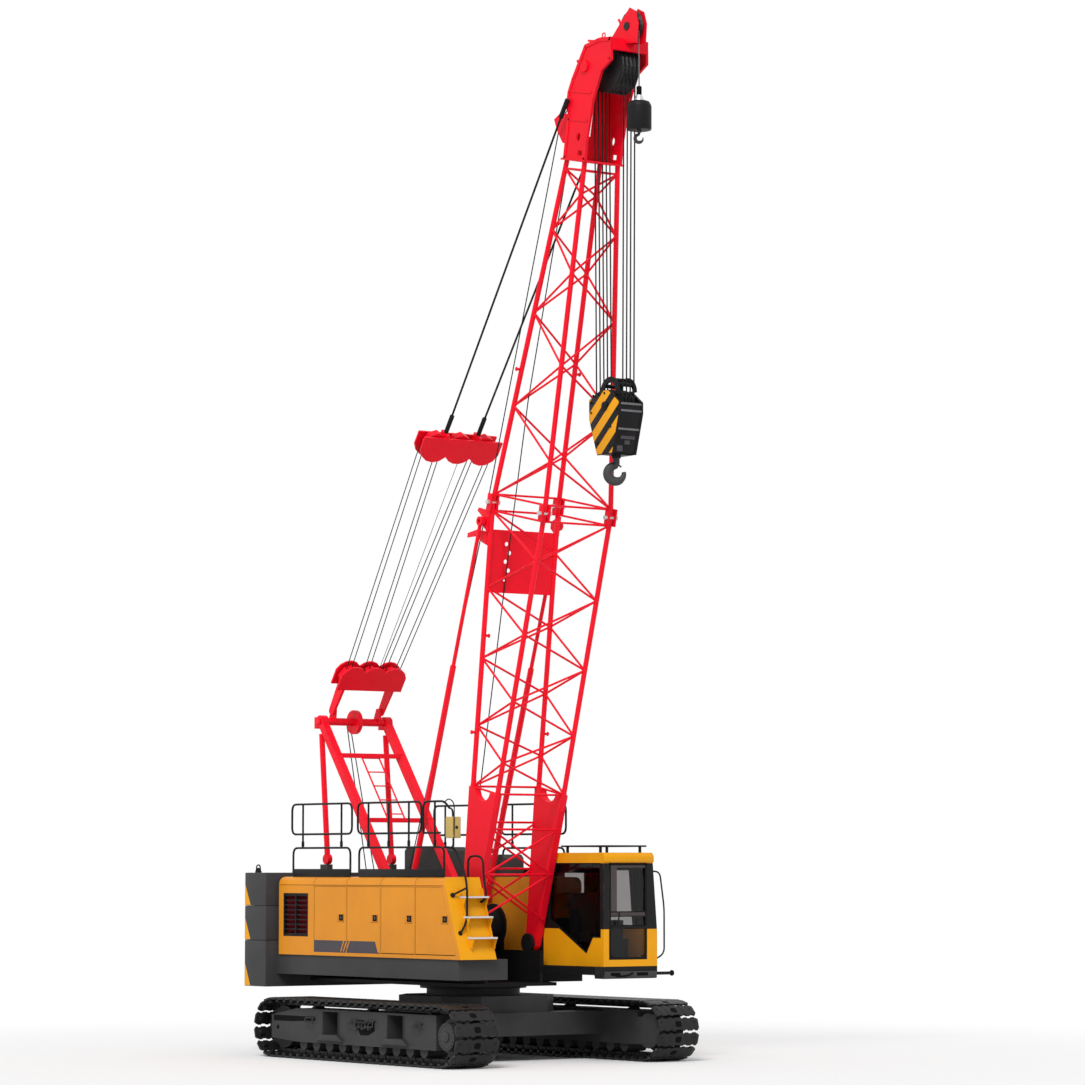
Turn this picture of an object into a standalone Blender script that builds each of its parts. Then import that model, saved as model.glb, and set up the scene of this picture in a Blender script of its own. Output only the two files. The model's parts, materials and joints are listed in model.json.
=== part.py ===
# Crawler crane with a 13 m lattice boom, in metres, +X forward, +Y to the left, +Z up.
# Pieces are drawn about the slew axis, and one empty moves that axis so that the origin is
# at the bottom centre of the whole machine.
import math

import bmesh
import bpy
from mathutils import Matrix, Vector

# general fits
fit_gap = 0.0003
overrun = 0.02
pin_play = 0.0006
weld_distance = 0.00001
weld_lap = 0.01

# undercarriage
track_length = 5.42
track_height = 0.90
track_outer_width = 4.36
shoe_width = 0.75
shoe_thickness = 0.036
shoe_web = 0.010
shoe_gap = 0.016
shoe_count = 58
chain_depth = 0.085
chain_width = 0.24
frame_width = 0.46
frame_bottom_z = 0.245
frame_top_z = 0.745
frame_front_x = 1.98
frame_rear_x = -2.42
frame_slope_x = -1.72
frame_rear_top_z = 0.63
fork_length = 0.72
fork_width = 0.26
idler_width = 0.20
sprocket_width = 0.13
drive_radius = 0.26
hub_radius = 0.20
hub_proud = 0.02
axle_radius = 0.055
roller_count = 10
roller_radius = 0.10
roller_width = 0.36
roller_reach = 1.60
carrier_radius = 0.075
carrier_width = 0.16
carrier_x_shares = (-0.46, 0.0, 0.5)
beam_x_list = (-0.78, 0.94)
beam_length_x = 0.40
beam_height = 0.34
beam_bottom_z = 0.375
beam_recess = 0.30
body_half_x = 0.98
body_half_y = 1.02
body_corner = 0.42
body_bottom_z = 0.40
body_top_z = 0.96
ring_radius = 0.70
ring_top_z = 1.06
ring_sides = 40

# upper deck
deck_rear_x = -3.2797
deck_front_x = 1.62
deck_half_y = 1.40
deck_bottom_z = 1.22
deck_top_z = 1.52
skirt_wall = 0.05
belly_bottom_z = 1.10
belly_half_y = 0.78
belly_plate = 0.05
bearing_radius = 0.80
girder_y = 0.50
girder_wall = 0.05
girder_top_z = 1.62
girder_front_x = 1.05
cab_deck_drop = 0.12
lug_base = 0.04
boss_web_share = 0.8
drum_x_list = (-0.05, -1.25, -2.35)
drum_z_list = (1.98, 1.98, 1.86)
drum_radius_list = (0.22, 0.22, 0.18)
drum_flange_list = (0.33, 0.33, 0.27)
drum_half_width = 0.42
drum_flange_wall = 0.03
drum_shaft_radius = 0.06
boss_radius = 0.14

# boom
foot_x = 0.706
foot_z = 1.731
luff_angle = math.radians(78.6)
boom_length = 13.0
section_length = 6.5
leg_length = 2.3
foot_depth = 0.27
mid_depth = 1.32
tip_depth = 0.44
boom_width = 1.20
tip_width = 0.60
head_start = 11.62
leg_brace_shares = (0.17, 0.47, 0.77)
leg_notch = 0.16
leg_notch_share = 0.6
base_station_shares = (0.0, 0.112, 0.214, 0.333, 0.452, 0.571, 0.702, 0.833, 0.971)
top_station_shares = (0.0234, 0.1465, 0.2832, 0.42, 0.5566, 0.6836, 0.8008, 0.9082, 0.9766)
chord_lap = 0.25
guide_panel_span = (5.17, 6.10)
guide_panel_wall = 0.014
guide_hole_radius = 0.032
guide_hole_y = -0.27
guide_hole_shares = (0.22, 0.36, 0.50, 0.64, 0.78)
stop_lug_foot = 0.15
stop_lug_head = 0.05
chord_radius = 0.05
leg_edge_share = 0.6
lace_radius = 0.024
chord_sides = 8
lace_sides = 5
flange_half = 0.07
flange_wall = 0.03
lace_twist = math.radians(17)
leg_wall = 0.11
foot_pin_radius = 0.05
foot_lug_radius = 0.125
cheek_wall = 0.04
pin_sides = 16

# boom head
head_sheave_drop = 0.30
sheave_radius = 0.355
sheave_groove = 0.03
sheave_pitch = 0.07
sheave_count = 5
sheave_rim_share = 0.06
head_plate_wall = 0.03
head_plate_y = 0.315
head_frame_wall = 0.03
head_frame_margin = 0.07
head_web_wall = 0.02
rear_web_share = 0.80
front_web_share = 0.20
web_slot_shares = (0.28, 0.56)
web_slot_half = 0.07
head_outline_shares = (
    (0.0, 0.62), (0.50, 0.66), (0.56, 0.80), (0.72, 0.80), (0.86, 0.66), (1.225, 0.16), (1.304, -0.57),
    (1.326, -1.25), (1.087, -1.41), (0.971, -0.96), (0.652, -0.66), (0.203, -0.57), (0.0, -0.62))
nose_shares = (1.26, 0.08, -0.50)
shaft_radius = 0.06
guide_bracket_y = -0.20
guide_bracket_half = 0.05
guide_bracket_shares = ((0.18, 0.40), (0.50, 0.40), (0.485, 1.36), (0.42, 1.64), (0.31, 1.41), (0.18, 1.0))
guide_roller_shares = (0.38, 1.22)
guide_roller_radius = 0.10
aux_x = 13.63
aux_drop = 0.561
aux_radius = 0.235
aux_wall = 0.07
fin_y = 0.11
fin_wall = 0.022
fin_shares = ((1.28, -0.12), (1.652, -1.09), (1.63, -1.86), (1.515, -2.14), (1.28, -1.15))
anchor_x = 12.5
anchor_rise = 0.283
anchor_y = 0.375

# gantry, bridles and pendants
gantry_y = 0.60
gantry_top_x = -3.26
gantry_top_z = 5.13
gantry_foot_x = -0.70
gantry_foot_z = 1.76
gantry_leg = 0.12
rear_leg_radius = 0.045
rear_eye_radius = 0.08
rear_foot_x = -3.10
rear_foot_z = 2.98
rear_post_wall = 0.05
rear_post_length = 0.20
gantry_bar = 0.14
gantry_foot_radius = 0.072
gantry_top_radius = 0.096
gantry_bar_shares = (0.16, 0.46)
rear_top_gap = 0.10
rear_top_back = 0.02
rear_eye_half = 0.04
bridle_pin_x = -3.20
bridle_pin_z = 5.30
bridle_pin_y = 0.42
bridle_lug_wall = 0.04
bridle_lug_foot = 0.09
bridle_lug_head = 0.05
bridle_pin_radius = 0.03
bridle_eye_radius = 0.065
pendant_lug_length = 0.05
pendant_lug_wall = 0.05
lower_bridle_at = 0.66
upper_bridle_at = 4.78
lower_half_width = 0.60
upper_half_width = 0.72
bridle_wall = 0.03
bridle_depth = 0.42
bridle_sheave_radius = 0.19
bridle_half_gap = 0.095
bridle_sheave_half = 0.057
lobe_radius_share = 0.40
lobe_step_share = 0.62
pendant_radius = 0.016
pendant_y = 0.30
socket_radius = 0.035
socket_length = 0.30

# backstops
stop_y = 0.715
stop_foot_x = -0.66
stop_foot_z = 2.40
stop_eye_x = 6.2
stop_eye_rise = 0.75
barrel_radius = 0.045
rod_radius = 0.030
barrel_share = 0.62
barrel_bore_share = 0.30
rod_start_share = 0.36
eye_radius = 0.07
stop_pin_radius = 0.030
eye_wall = 0.07
eye_neck_share = 0.6

# hooks
block_drop = 5.17
block_height = 0.93
block_length = 0.72
block_wall = 0.035
block_half_y = 0.20
block_outline_shares = (
    (-0.50, 0.08), (-0.50, 0.38), (-0.14, 0.50), (0.14, 0.50), (0.50, 0.30), (0.50, 0.12), (0.27, -0.50), (-0.24, -0.50))
block_sheave_radius = 0.31
block_sheave_rise = 0.06
block_sheave_count = 4
block_foot_half = 0.12
block_foot_height = 0.12
main_hook_turn = math.radians(54)
hook_sweep = 290
hook_steps = 12
hook_fat_share = 1.2
hook_taper_share = 0.7
hook_shank_radius = 0.045
main_hook_drop = 0.26
main_hook_bend = 0.13
main_hook_thickness = 0.10
ball_x_offset = 0.18
ball_drop = 1.33
ball_radius = 0.18
ball_height = 0.42
ball_edge = 0.02
ball_cone_radius = 0.10
ball_neck_radius = 0.04
ball_neck_shares = (0.05, 0.29, 0.52)
ball_sides = 24
aux_hook_shank = 0.028
aux_hook_drop = 0.13
aux_hook_bend = 0.055
aux_hook_thickness = 0.045

# counterweight
weight_front_x = -3.28
weight_rear_x = -3.94
weight_half_y = 1.614
weight_levels = (1.018, 1.73, 2.26, 2.772)
weight_corner = 0.05
lug_height = 0.16
lug_wall = 0.05
lug_side_share = 0.8
lug_top_share = 0.33

# engine houses
hood_rear_x = -3.19
hood_foot_x = 1.72
hood_crown_x = 1.28
hood_outer_y = 1.43
hood_inner_y = 0.79
hood_top_z = 2.71
hood_wall = 0.035
hood_round = 0.11
door_wall = 0.035
door_bottom_z = 1.575
door_top_z = 2.57
door_seam = 0.006
door_post = 0.02
door_edges = (-2.20, -1.29, -0.37, 0.54)
door_front_margin = 0.09
grille_span = (-3.06, -2.36)
grille_z_span = (1.80, 2.46)
grille_wall = 0.025
slat_wall = 0.017
slat_count = 9
engine_span = (-2.30, -1.10)
engine_inset = 0.09
engine_height = 0.83
step_levels = (1.82, 2.12, 2.41)
step_inner_y = 0.82
step_outer_y = 1.22
step_depth = 0.16
step_wall = 0.025
stringer_width = 0.06
stringer_wall = 0.012
stringer_margin = 0.14
left_front_x = 0.80
left_door_edges = (-2.20, -1.10, 0.0)
roof_box_spans = ((-3.10, -1.92), (-0.85, -0.40))
roof_box_heights = (0.46, 0.34)
roof_box_inner_y = 0.85
roof_box_outer_y = 1.22
roof_box_round = 0.06

# cab
cab_rear_x = 0.86
cab_front_x = 2.35
cab_right_y = 0.68
cab_left_y = 1.67
cab_lean = 0.09
cab_floor_z = 1.405
cab_roof_z = 3.07
cab_wall = 0.05
cab_knee_share = 0.30
cab_door_span = (1.04, 1.92)
cab_door_sill = 0.065
cab_door_drop = 0.16
cab_post = 0.07
cab_rear_post = 0.15
cab_header = 0.15
windscreen_margin = 0.10
windscreen_sill = 0.10
rear_window_sill = 0.70
rear_window_header = 0.30
right_sill_rear = 0.675
right_sill_low = 0.185
right_sill_front = 0.42
right_low_back = 0.42
right_notch_back = 0.26
door_window_sill = 0.595
door_frame = 0.10
glass_wall = 0.006
glass_inset = 0.018
guard_rise = 0.11
guard_wall = 0.025
guard_margin = 0.06
guard_rear_margin = 0.36
guard_bar = 0.05
guard_post = 0.04
guard_post_shares = (0.12, 0.88)
guard_bar_shares = (0.33, 0.67)

# seat and console
seat_from_rear = 0.62
seat_height = 0.44
seat_cushion = 0.14
seat_length = 0.50
seat_width = 0.50
seat_pedestal = 0.36
seat_back_height = 0.58
seat_back_wall = 0.13
seat_back_lean = 0.09
seat_back_width = 0.46
console_from_front = 0.45
console_length = 0.24
console_width = 0.50
console_height = 0.35
column_length = 0.14
column_width = 0.40
column_height = 0.27

# handrails
rail_inset = 0.10
rail_radius = 0.02
rail_corner = 0.06
rail_post_radius = 0.018
rail_post_shares = (0.2, 0.8)
toe_wall = 0.024
toe_height = 0.12
lower_hoop_rises = (0.06, 0.44)
upper_hoop_rises = (0.65, 1.12)
upper_hoop_grow = 0.04
rail_rear_margin = 0.25
rail_rear_end_x = -1.34
rail_front_start_x = -1.10
right_rail_end_x = 1.15
left_rail_end_x = 0.50

machine = "crawler_crane"
parts = None
cutters = None
bench = None


def start():
    """Clears the scene and makes the two collections and a bench where curves become meshes."""
    global parts, cutters, bench
    for old in list(bpy.data.objects):
        bpy.data.objects.remove(old, do_unlink=True)
    bench = bpy.data.scenes.new("bench")
    parts = bpy.data.collections.new(machine)
    cutters = bpy.data.collections.new("cutters")
    bpy.context.scene.collection.children.link(parts)
    bpy.context.scene.collection.children.link(cutters)


def paint(name, colour, roughness, metallic):
    """A plain Principled material."""
    material = bpy.data.materials.new(name)
    material.use_nodes = True
    shader = material.node_tree.nodes["Principled BSDF"]
    shader.inputs["Base Color"].default_value = (*colour, 1.0)
    shader.inputs["Roughness"].default_value = roughness
    shader.inputs["Metallic"].default_value = metallic
    material.diffuse_color = (*colour, 1.0)
    return material


def solid(mesh_name, bm):
    """Turns a bmesh into an object in the parts collection."""
    bmesh.ops.recalc_face_normals(bm, faces=bm.faces)
    mesh = bpy.data.meshes.new(mesh_name)
    bm.to_mesh(mesh)
    bm.free()
    piece = bpy.data.objects.new(mesh_name, mesh)
    parts.objects.link(piece)
    return piece


def box(low, high):
    """A block between two corners."""
    bm = bmesh.new()
    bmesh.ops.create_cube(bm, size=1.0)
    low, high = Vector(low), Vector(high)
    bmesh.ops.transform(bm, matrix=Matrix.LocRotScale((low + high) / 2, None, high - low), verts=bm.verts)
    return solid("block", bm)


def rod(start, end, radius, sides=chord_sides, end_radius=None, twist=0.0):
    """A round bar, or a cone, between two points."""
    start, end = Vector(start), Vector(end)
    run = end - start
    bm = bmesh.new()
    bmesh.ops.create_cone(
        bm, cap_ends=True, segments=sides, depth=run.length,
        radius1=radius, radius2=radius if end_radius is None else end_radius)
    turn = run.to_track_quat("Z", "Y").to_matrix().to_4x4() @ Matrix.Rotation(twist, 4, "Z")
    bmesh.ops.transform(bm, matrix=Matrix.Translation((start + end) / 2) @ turn, verts=bm.verts)
    return solid("bar", bm)


def across(x, z, radius, y_from, y_to, sides=pin_sides):
    """A round bar along Y."""
    return rod((x, y_from, z), (x, y_to, z), radius, sides)


def plate(outline, y_from, y_to):
    """A flat plate in the XZ plane from its outline, between two values of Y."""
    curve = bpy.data.curves.new("outline", "CURVE")
    curve.dimensions = "2D"
    curve.fill_mode = "BOTH"
    curve.extrude = abs(y_to - y_from) / 2
    spline = curve.splines.new("POLY")
    spline.points.add(len(outline) - 1)
    for point, (x, z) in zip(spline.points, outline):
        point.co = (x, z, 0.0, 1.0)
    spline.use_cyclic_u = True
    return from_curve(curve, Matrix.Translation((0.0, (y_from + y_to) / 2, 0.0)) @ Matrix.Rotation(math.pi / 2, 4, "X"))


def from_curve(curve, place):
    """Makes a curve a welded mesh at its place."""
    guide = bpy.data.objects.new("guide", curve)
    bench.collection.objects.link(guide)
    layer = bench.view_layers[0]
    layer.update()
    mesh = bpy.data.meshes.new_from_object(guide.evaluated_get(layer.depsgraph))
    bpy.data.objects.remove(guide, do_unlink=True)
    bm = bmesh.new()
    bm.from_mesh(mesh)
    bmesh.ops.remove_doubles(bm, verts=bm.verts, dist=weld_distance)
    bmesh.ops.transform(bm, matrix=place, verts=bm.verts)
    return solid("plate", bm)


def tube(points, radius, sides_level=1):
    """A bent pipe through the points."""
    curve = bpy.data.curves.new("pipe", "CURVE")
    curve.dimensions = "3D"
    curve.bevel_depth = radius
    curve.bevel_resolution = sides_level
    curve.use_fill_caps = True
    spline = curve.splines.new("POLY")
    spline.points.add(len(points) - 1)
    for point, place in zip(spline.points, points):
        point.co = (*place, 1.0)
    return from_curve(curve, Matrix.Identity(4))


def turned(profile, steps):
    """A solid of revolution about Y at the origin, from (radius, y) points, poles closed."""
    bm = bmesh.new()
    verts = [bm.verts.new((radius, y, 0.0)) for radius, y in profile]
    edges = [bm.edges.new(pair) for pair in zip(verts, verts[1:])]
    bmesh.ops.spin(
        bm, geom=verts + edges, axis=(0.0, 1.0, 0.0), cent=(0.0, 0.0, 0.0),
        angle=math.tau, steps=steps, use_merge=True)
    bmesh.ops.remove_doubles(bm, verts=bm.verts, dist=weld_distance)
    return solid("turned", bm)


def moved(piece, place):
    """Moves a piece's mesh."""
    piece.data.transform(Matrix.Translation(place))
    return piece


def hide(piece, group):
    """Puts a piece among the cutters and guides."""
    parts.objects.unlink(piece)
    group.objects.link(piece)
    piece.hide_render = True
    piece.display_type = "WIRE"


def combine(base, pieces, operation, own_overlaps=False):
    """Adds a Boolean with a group of pieces to the base."""
    group = bpy.data.collections.new(f"{operation.lower()}_shapes")
    cutters.children.link(group)
    for piece in pieces:
        hide(piece, group)
        piece.parent = base
    step = base.modifiers.new(operation.lower(), "BOOLEAN")
    step.operation = operation
    step.operand_type = "COLLECTION"
    step.collection = group
    step.solver = "EXACT"
    step.use_self = own_overlaps
    return base


def fused(pieces, own_overlaps=False):
    """One body from pieces that overlap."""
    return combine(pieces[0], pieces[1:], "UNION", own_overlaps)


def cut(base, pieces):
    """Takes pieces out of the base."""
    return combine(base, pieces, "DIFFERENCE")


def axis(name, place, parent=None, turn=0.0):
    """An empty on a joint's axis, turned about Y so that its X runs along what it carries."""
    point = bpy.data.objects.new(name, None)
    bpy.context.scene.collection.objects.link(point)
    point.location = place
    point.rotation_euler = (0.0, -turn, 0.0)
    point.parent = parent
    return point


def hang(piece, name, material, point, drawn_about=(0.0, 0.0, 0.0)):
    """Names and paints a finished piece and hangs it on its axis."""
    piece.name = name
    piece.data.name = name
    piece.data.materials.append(material)
    piece.parent = point
    piece.location = -Vector(drawn_about)
    return piece


def bore_radius(pin_radius, sides=pin_sides):
    """A bore whose flats clear a turning pin of that radius."""
    return pin_radius / math.cos(math.pi / sides) + pin_play


def disc_points(x, z, radius, start, end, count):
    """Points on an arc in the XZ plane, angles in degrees from +X towards +Z."""
    turns = [math.radians(start + (end - start) * i / (count - 1)) for i in range(count)]
    return [(x + radius * math.cos(t), z + radius * math.sin(t)) for t in turns]


def slab(outline, z_from, z_to):
    """A flat plate in plan from its outline, between two heights."""
    piece = plate(outline, -z_to, -z_from)
    piece.data.transform(Matrix.Rotation(-math.pi / 2, 4, "X"))
    return piece


def panel(outline, x_from, x_to):
    """A flat plate in the YZ plane from its outline, between two values of X."""
    piece = plate(outline, x_from, x_to)
    piece.data.transform(Matrix.Rotation(math.pi / 2, 4, "Z"))
    piece.data.transform(Matrix.Scale(-1.0, 4, (1.0, 0.0, 0.0)))
    piece.data.flip_normals()
    return piece


def boom_rise(x):
    """Half the depth between the chords at a distance from the foot."""
    if x <= section_length:
        return (foot_depth + (mid_depth - foot_depth) * x / section_length) / 2
    share = (x - section_length) / (head_start - section_length)
    return (mid_depth + (tip_depth - mid_depth) * share) / 2


def boom_side(x):
    """Half the width between the chords at a distance from the foot."""
    if x <= section_length:
        return boom_width / 2
    share = (x - section_length) / (head_start - section_length)
    return (boom_width + (tip_width - boom_width) * share) / 2


def boom_place(x, rise):
    """A point of the boom in the machine's frame, at rest."""
    return (
        foot_x + x * math.cos(luff_angle) - rise * math.sin(luff_angle),
        foot_z + x * math.sin(luff_angle) + rise * math.cos(luff_angle))


def chord_point(x, side, face):
    """The centre of a chord, side +1 left, face +1 upper."""
    return (x, side * boom_side(x), face * boom_rise(x))


def track_pins():
    """The chain's pins round the loop, each with its outward direction."""
    radius = track_height / 2 - shoe_thickness - chain_depth / 2
    half_run = track_length / 2 - track_height / 2
    length = 4 * half_run + math.tau * radius
    pins = []
    for i in range(shoe_count):
        along = length * i / shoe_count
        if along < 2 * half_run:
            pins.append((along - half_run, -radius, 0.0, -1.0))
            continue
        along -= 2 * half_run
        if along < math.pi * radius:
            turn = along / radius
            pins.append((half_run + radius * math.sin(turn), -radius * math.cos(turn), math.sin(turn), -math.cos(turn)))
            continue
        along -= math.pi * radius
        if along < 2 * half_run:
            pins.append((half_run - along, radius, 0.0, 1.0))
            continue
        turn = (along - 2 * half_run) / radius
        pins.append((-half_run - radius * math.sin(turn), radius * math.cos(turn), -math.sin(turn), math.cos(turn)))
    return pins


def wheel_radius():
    """The radius that fits inside the chain's flats."""
    pitch_radius = track_height / 2 - shoe_thickness - chain_depth / 2
    half_run = track_length / 2 - track_height / 2
    pitch = (4 * half_run + math.tau * pitch_radius) / shoe_count
    return (pitch_radius - chain_depth / 2) * math.cos(pitch / pitch_radius / 2) - fit_gap


def ring_plate(outer, inner, y_from, y_to):
    """A closed band between two loops of points in the XZ plane."""
    curve = bpy.data.curves.new("band", "CURVE")
    curve.dimensions = "2D"
    curve.fill_mode = "BOTH"
    curve.extrude = abs(y_to - y_from) / 2
    for loop in (outer, inner):
        spline = curve.splines.new("POLY")
        spline.points.add(len(loop) - 1)
        for point, (x, z) in zip(spline.points, loop):
            point.co = (x, z, 0.0, 1.0)
        spline.use_cyclic_u = True
    return from_curve(curve, Matrix.Translation((0.0, (y_from + y_to) / 2, 0.0)) @ Matrix.Rotation(math.pi / 2, 4, "X"))


def track(side):
    """One loop of shoes on its chain."""
    pins = track_pins()
    middle = track_height / 2
    half_chain = chain_depth / 2
    centre_y = side * (track_outer_width - shoe_width) / 2
    outer = []
    for (ax, az, _, _), (bx, bz, _, _) in zip(pins, pins[1:] + pins[:1]):
        length = math.hypot(bx - ax, bz - az)
        tx, tz = (bx - ax) / length, (bz - az) / length
        nx, nz = tz, -tx
        half_gap = shoe_gap / 2
        for start_x, start_z, step, lift in (
                (ax, az, half_gap, half_chain + shoe_web),
                (ax, az, half_gap, half_chain + shoe_thickness),
                (bx, bz, -half_gap, half_chain + shoe_thickness),
                (bx, bz, -half_gap, half_chain + shoe_web)):
            outer.append((start_x + tx * step + nx * lift, middle + start_z + tz * step + nz * lift))
    inner = [(x + nx * half_chain, middle + z + nz * half_chain) for x, z, nx, nz in pins]
    shoes = ring_plate(outer, inner, centre_y - shoe_width / 2, centre_y + shoe_width / 2)
    lap = half_chain + shoe_web / 2
    chain_outer = [(x + nx * lap, middle + z + nz * lap) for x, z, nx, nz in pins]
    chain_inner = [(x - nx * half_chain, middle + z - nz * half_chain) for x, z, nx, nz in pins]
    chain = ring_plate(chain_outer, chain_inner, centre_y - chain_width / 2, centre_y + chain_width / 2)
    return fused([shoes, chain], own_overlaps=True)


def side_frame(side):
    """One track frame with its idler, rollers, sprocket and drive hub."""
    centre_y = side * (track_outer_width - shoe_width) / 2
    inner_y = centre_y - side * frame_width / 2
    outer_y = centre_y + side * frame_width / 2
    middle = track_height / 2
    end_x = track_length / 2 - track_height / 2
    wheel = wheel_radius()
    low, high = sorted((inner_y, outer_y))
    outline = [
        (frame_front_x, frame_bottom_z), (frame_front_x, frame_top_z), (frame_slope_x, frame_top_z),
        (frame_rear_x, frame_rear_top_z), (frame_rear_x, frame_bottom_z + chain_depth / 2),
        (frame_slope_x, frame_bottom_z)]
    base = plate(outline, low, high)
    fork = box(
        (frame_rear_x - overrun, centre_y - fork_width / 2, frame_bottom_z - overrun),
        (frame_rear_x + fork_length, centre_y + fork_width / 2, frame_top_z + overrun))
    sleeves = [
        box((x - beam_length_x / 2 - fit_gap, low - overrun, beam_bottom_z - fit_gap),
            (x + beam_length_x / 2 + fit_gap, high + overrun, beam_bottom_z + beam_height + fit_gap))
        for x in beam_x_list]
    cut(base, [fork] + sleeves)
    wheels = [
        across(-end_x, middle, wheel, centre_y - idler_width / 2, centre_y + idler_width / 2, 24),
        across(-end_x, middle, axle_radius, inner_y, outer_y),
        across(end_x, middle, wheel, centre_y - sprocket_width / 2, centre_y + sprocket_width / 2, 24),
        across(end_x, middle, drive_radius, inner_y, centre_y + side * frame_width / 3, 24),
        across(end_x, middle, hub_radius, centre_y, outer_y + side * hub_proud, 24),
        box((frame_front_x - drive_radius, min(inner_y, inner_y + side * leg_wall), middle - hub_radius),
            (end_x, max(inner_y, inner_y + side * leg_wall), middle + hub_radius))]
    roll_z = shoe_thickness + chain_depth + fit_gap + roller_radius
    for i in range(roller_count):
        x = -roller_reach + 2 * roller_reach * i / (roller_count - 1)
        wheels.append(across(x, roll_z, roller_radius, centre_y - roller_width / 2, centre_y + roller_width / 2, 12))
    carry_z = track_height - shoe_thickness - chain_depth - fit_gap - carrier_radius
    for share in carrier_x_shares:
        x = share * 2 * roller_reach
        wheels.append(across(x, carry_z, carrier_radius, centre_y - carrier_width / 2, centre_y + carrier_width / 2, 12))
    combine(base, wheels, "UNION")
    return base


def car_body():
    """The centre frame with its two cross beams and the bearing seat."""
    centre_x = sum(beam_x_list) / 2
    inner_y = (track_outer_width - shoe_width + frame_width) / 2
    corner = body_corner
    outline = [
        (centre_x + sx * (body_half_x - cx), sy * (body_half_y - cy))
        for sx, sy, cx, cy in (
            (1, -1, corner, 0), (1, -1, 0, corner), (1, 1, 0, corner), (1, 1, corner, 0),
            (-1, 1, corner, 0), (-1, 1, 0, corner), (-1, -1, 0, corner), (-1, -1, corner, 0))]
    pieces = [slab(outline, body_bottom_z, body_top_z)]
    for x in beam_x_list:
        pieces.append(box(
            (x - beam_length_x / 2, -inner_y + beam_recess, beam_bottom_z),
            (x + beam_length_x / 2, inner_y - beam_recess, beam_bottom_z + beam_height)))
    pieces.append(rod((0.0, 0.0, body_top_z - weld_lap), (0.0, 0.0, ring_top_z), ring_radius, ring_sides))
    return fused(pieces)


def deck_frame():
    """The centre frame: bearing ring, belly, girders and the bosses and pins on them."""
    rear = deck_rear_x
    pieces = [
        box((rear, -belly_half_y, belly_bottom_z), (girder_front_x, belly_half_y, belly_bottom_z + belly_plate)),
        rod((0.0, 0.0, ring_top_z + fit_gap), (0.0, 0.0, belly_bottom_z + weld_lap), bearing_radius, ring_sides),
        box((rear, -girder_y, belly_bottom_z + weld_lap), (rear + skirt_wall, girder_y, deck_top_z))]
    for side in (-1, 1):
        inner, outer = girder_y - girder_wall / 2, girder_y + girder_wall / 2
        y_from, y_to = sorted((side * inner, side * outer))
        pieces.append(box((rear, y_from, belly_bottom_z + weld_lap), (girder_front_x, y_to, girder_top_z)))
        bosses = [(foot_x, foot_z), (gantry_foot_x, gantry_foot_z), (stop_foot_x, stop_foot_z)]
        bosses += list(zip(drum_x_list, drum_z_list))
        for x, z in bosses:
            face = gantry_y - gantry_leg / 2 - fit_gap if x == gantry_foot_x else outer
            pieces.append(across(x, z, boss_radius, side * inner, side * face))
            if z - boss_radius > girder_top_z - weld_lap:
                half = boss_radius * boss_web_share
                pieces.append(box((x - half, y_from, girder_top_z - weld_lap), (x + half, y_to, z)))
        lug_y = boom_width / 2 + leg_wall / 2 + cheek_wall
        cheek = sorted((side * lug_y, side * (lug_y - cheek_wall / 2)))
        low = deck_top_z + fit_gap
        pieces.append(across(foot_x, foot_z, boss_radius, *cheek))
        pieces.append(box((foot_x - boss_radius, cheek[0], low), (foot_x + boss_radius, cheek[1], foot_z)))
        base = sorted((side * inner, side * (lug_y - weld_lap / 2)))
        half = boss_radius * boss_web_share
        pieces.append(box((foot_x - half, base[0], low), (foot_x + half, base[1], low + lug_base)))
        pieces.append(across(foot_x, foot_z, foot_pin_radius, side * girder_y, side * (lug_y - weld_lap)))
        pieces.append(across(
            gantry_foot_x, gantry_foot_z, stop_pin_radius, side * girder_y, side * (gantry_y + gantry_leg / 2)))
        pieces.append(across(stop_foot_x, stop_foot_z, stop_pin_radius, side * girder_y, side * (stop_y + eye_wall / 2)))
    return fused(pieces)


def side_deck(side, front_x):
    """A side deck: top plate, outer skirt, end plates, and the post that carries the gantry's rear leg."""
    rear = deck_rear_x
    inner = girder_y + girder_wall / 2 + fit_gap
    y_from, y_to = sorted((side * inner, side * deck_half_y))
    skirt = sorted((side * deck_half_y, side * (deck_half_y - skirt_wall)))
    post_x = rear + skirt_wall
    post_z = rear_foot_z - rear_eye_radius - fit_gap
    return fused([
        box((rear, y_from, deck_top_z - skirt_wall), (front_x, y_to, deck_top_z)),
        box((rear, skirt[0], deck_bottom_z), (front_x, skirt[1], deck_top_z - weld_lap)),
        box((rear, y_from, deck_bottom_z), (rear + skirt_wall, y_to, deck_top_z - weld_lap)),
        box((front_x - skirt_wall, y_from, deck_bottom_z), (front_x, y_to, deck_top_z - weld_lap)),
        box((post_x, side * gantry_y - rear_post_wall, deck_top_z - weld_lap),
            (post_x + rear_post_length, side * gantry_y + rear_post_wall, post_z))])


def cab_deck():
    """The floor under the cab, carried on the left girder."""
    top = cab_floor_z - fit_gap
    return fused([
        box((cab_rear_x - skirt_wall + fit_gap, girder_y + girder_wall / 2 + fit_gap, top - cab_deck_drop),
            (cab_front_x, cab_left_y, top)),
        box((cab_rear_x - skirt_wall + fit_gap, girder_y + girder_wall / 2 + fit_gap, belly_bottom_z + belly_plate + fit_gap),
            (cab_rear_x, deck_half_y, top - weld_lap))])


def counterweight_slab(low, high):
    """One cast slab with its rear corners cut."""
    corner = weight_corner
    outline = [
        (weight_front_x, -weight_half_y), (weight_front_x, weight_half_y), (weight_rear_x + corner, weight_half_y),
        (weight_rear_x, weight_half_y - corner), (weight_rear_x, -weight_half_y + corner),
        (weight_rear_x + corner, -weight_half_y)]
    return slab(outline, low, high)


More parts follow.
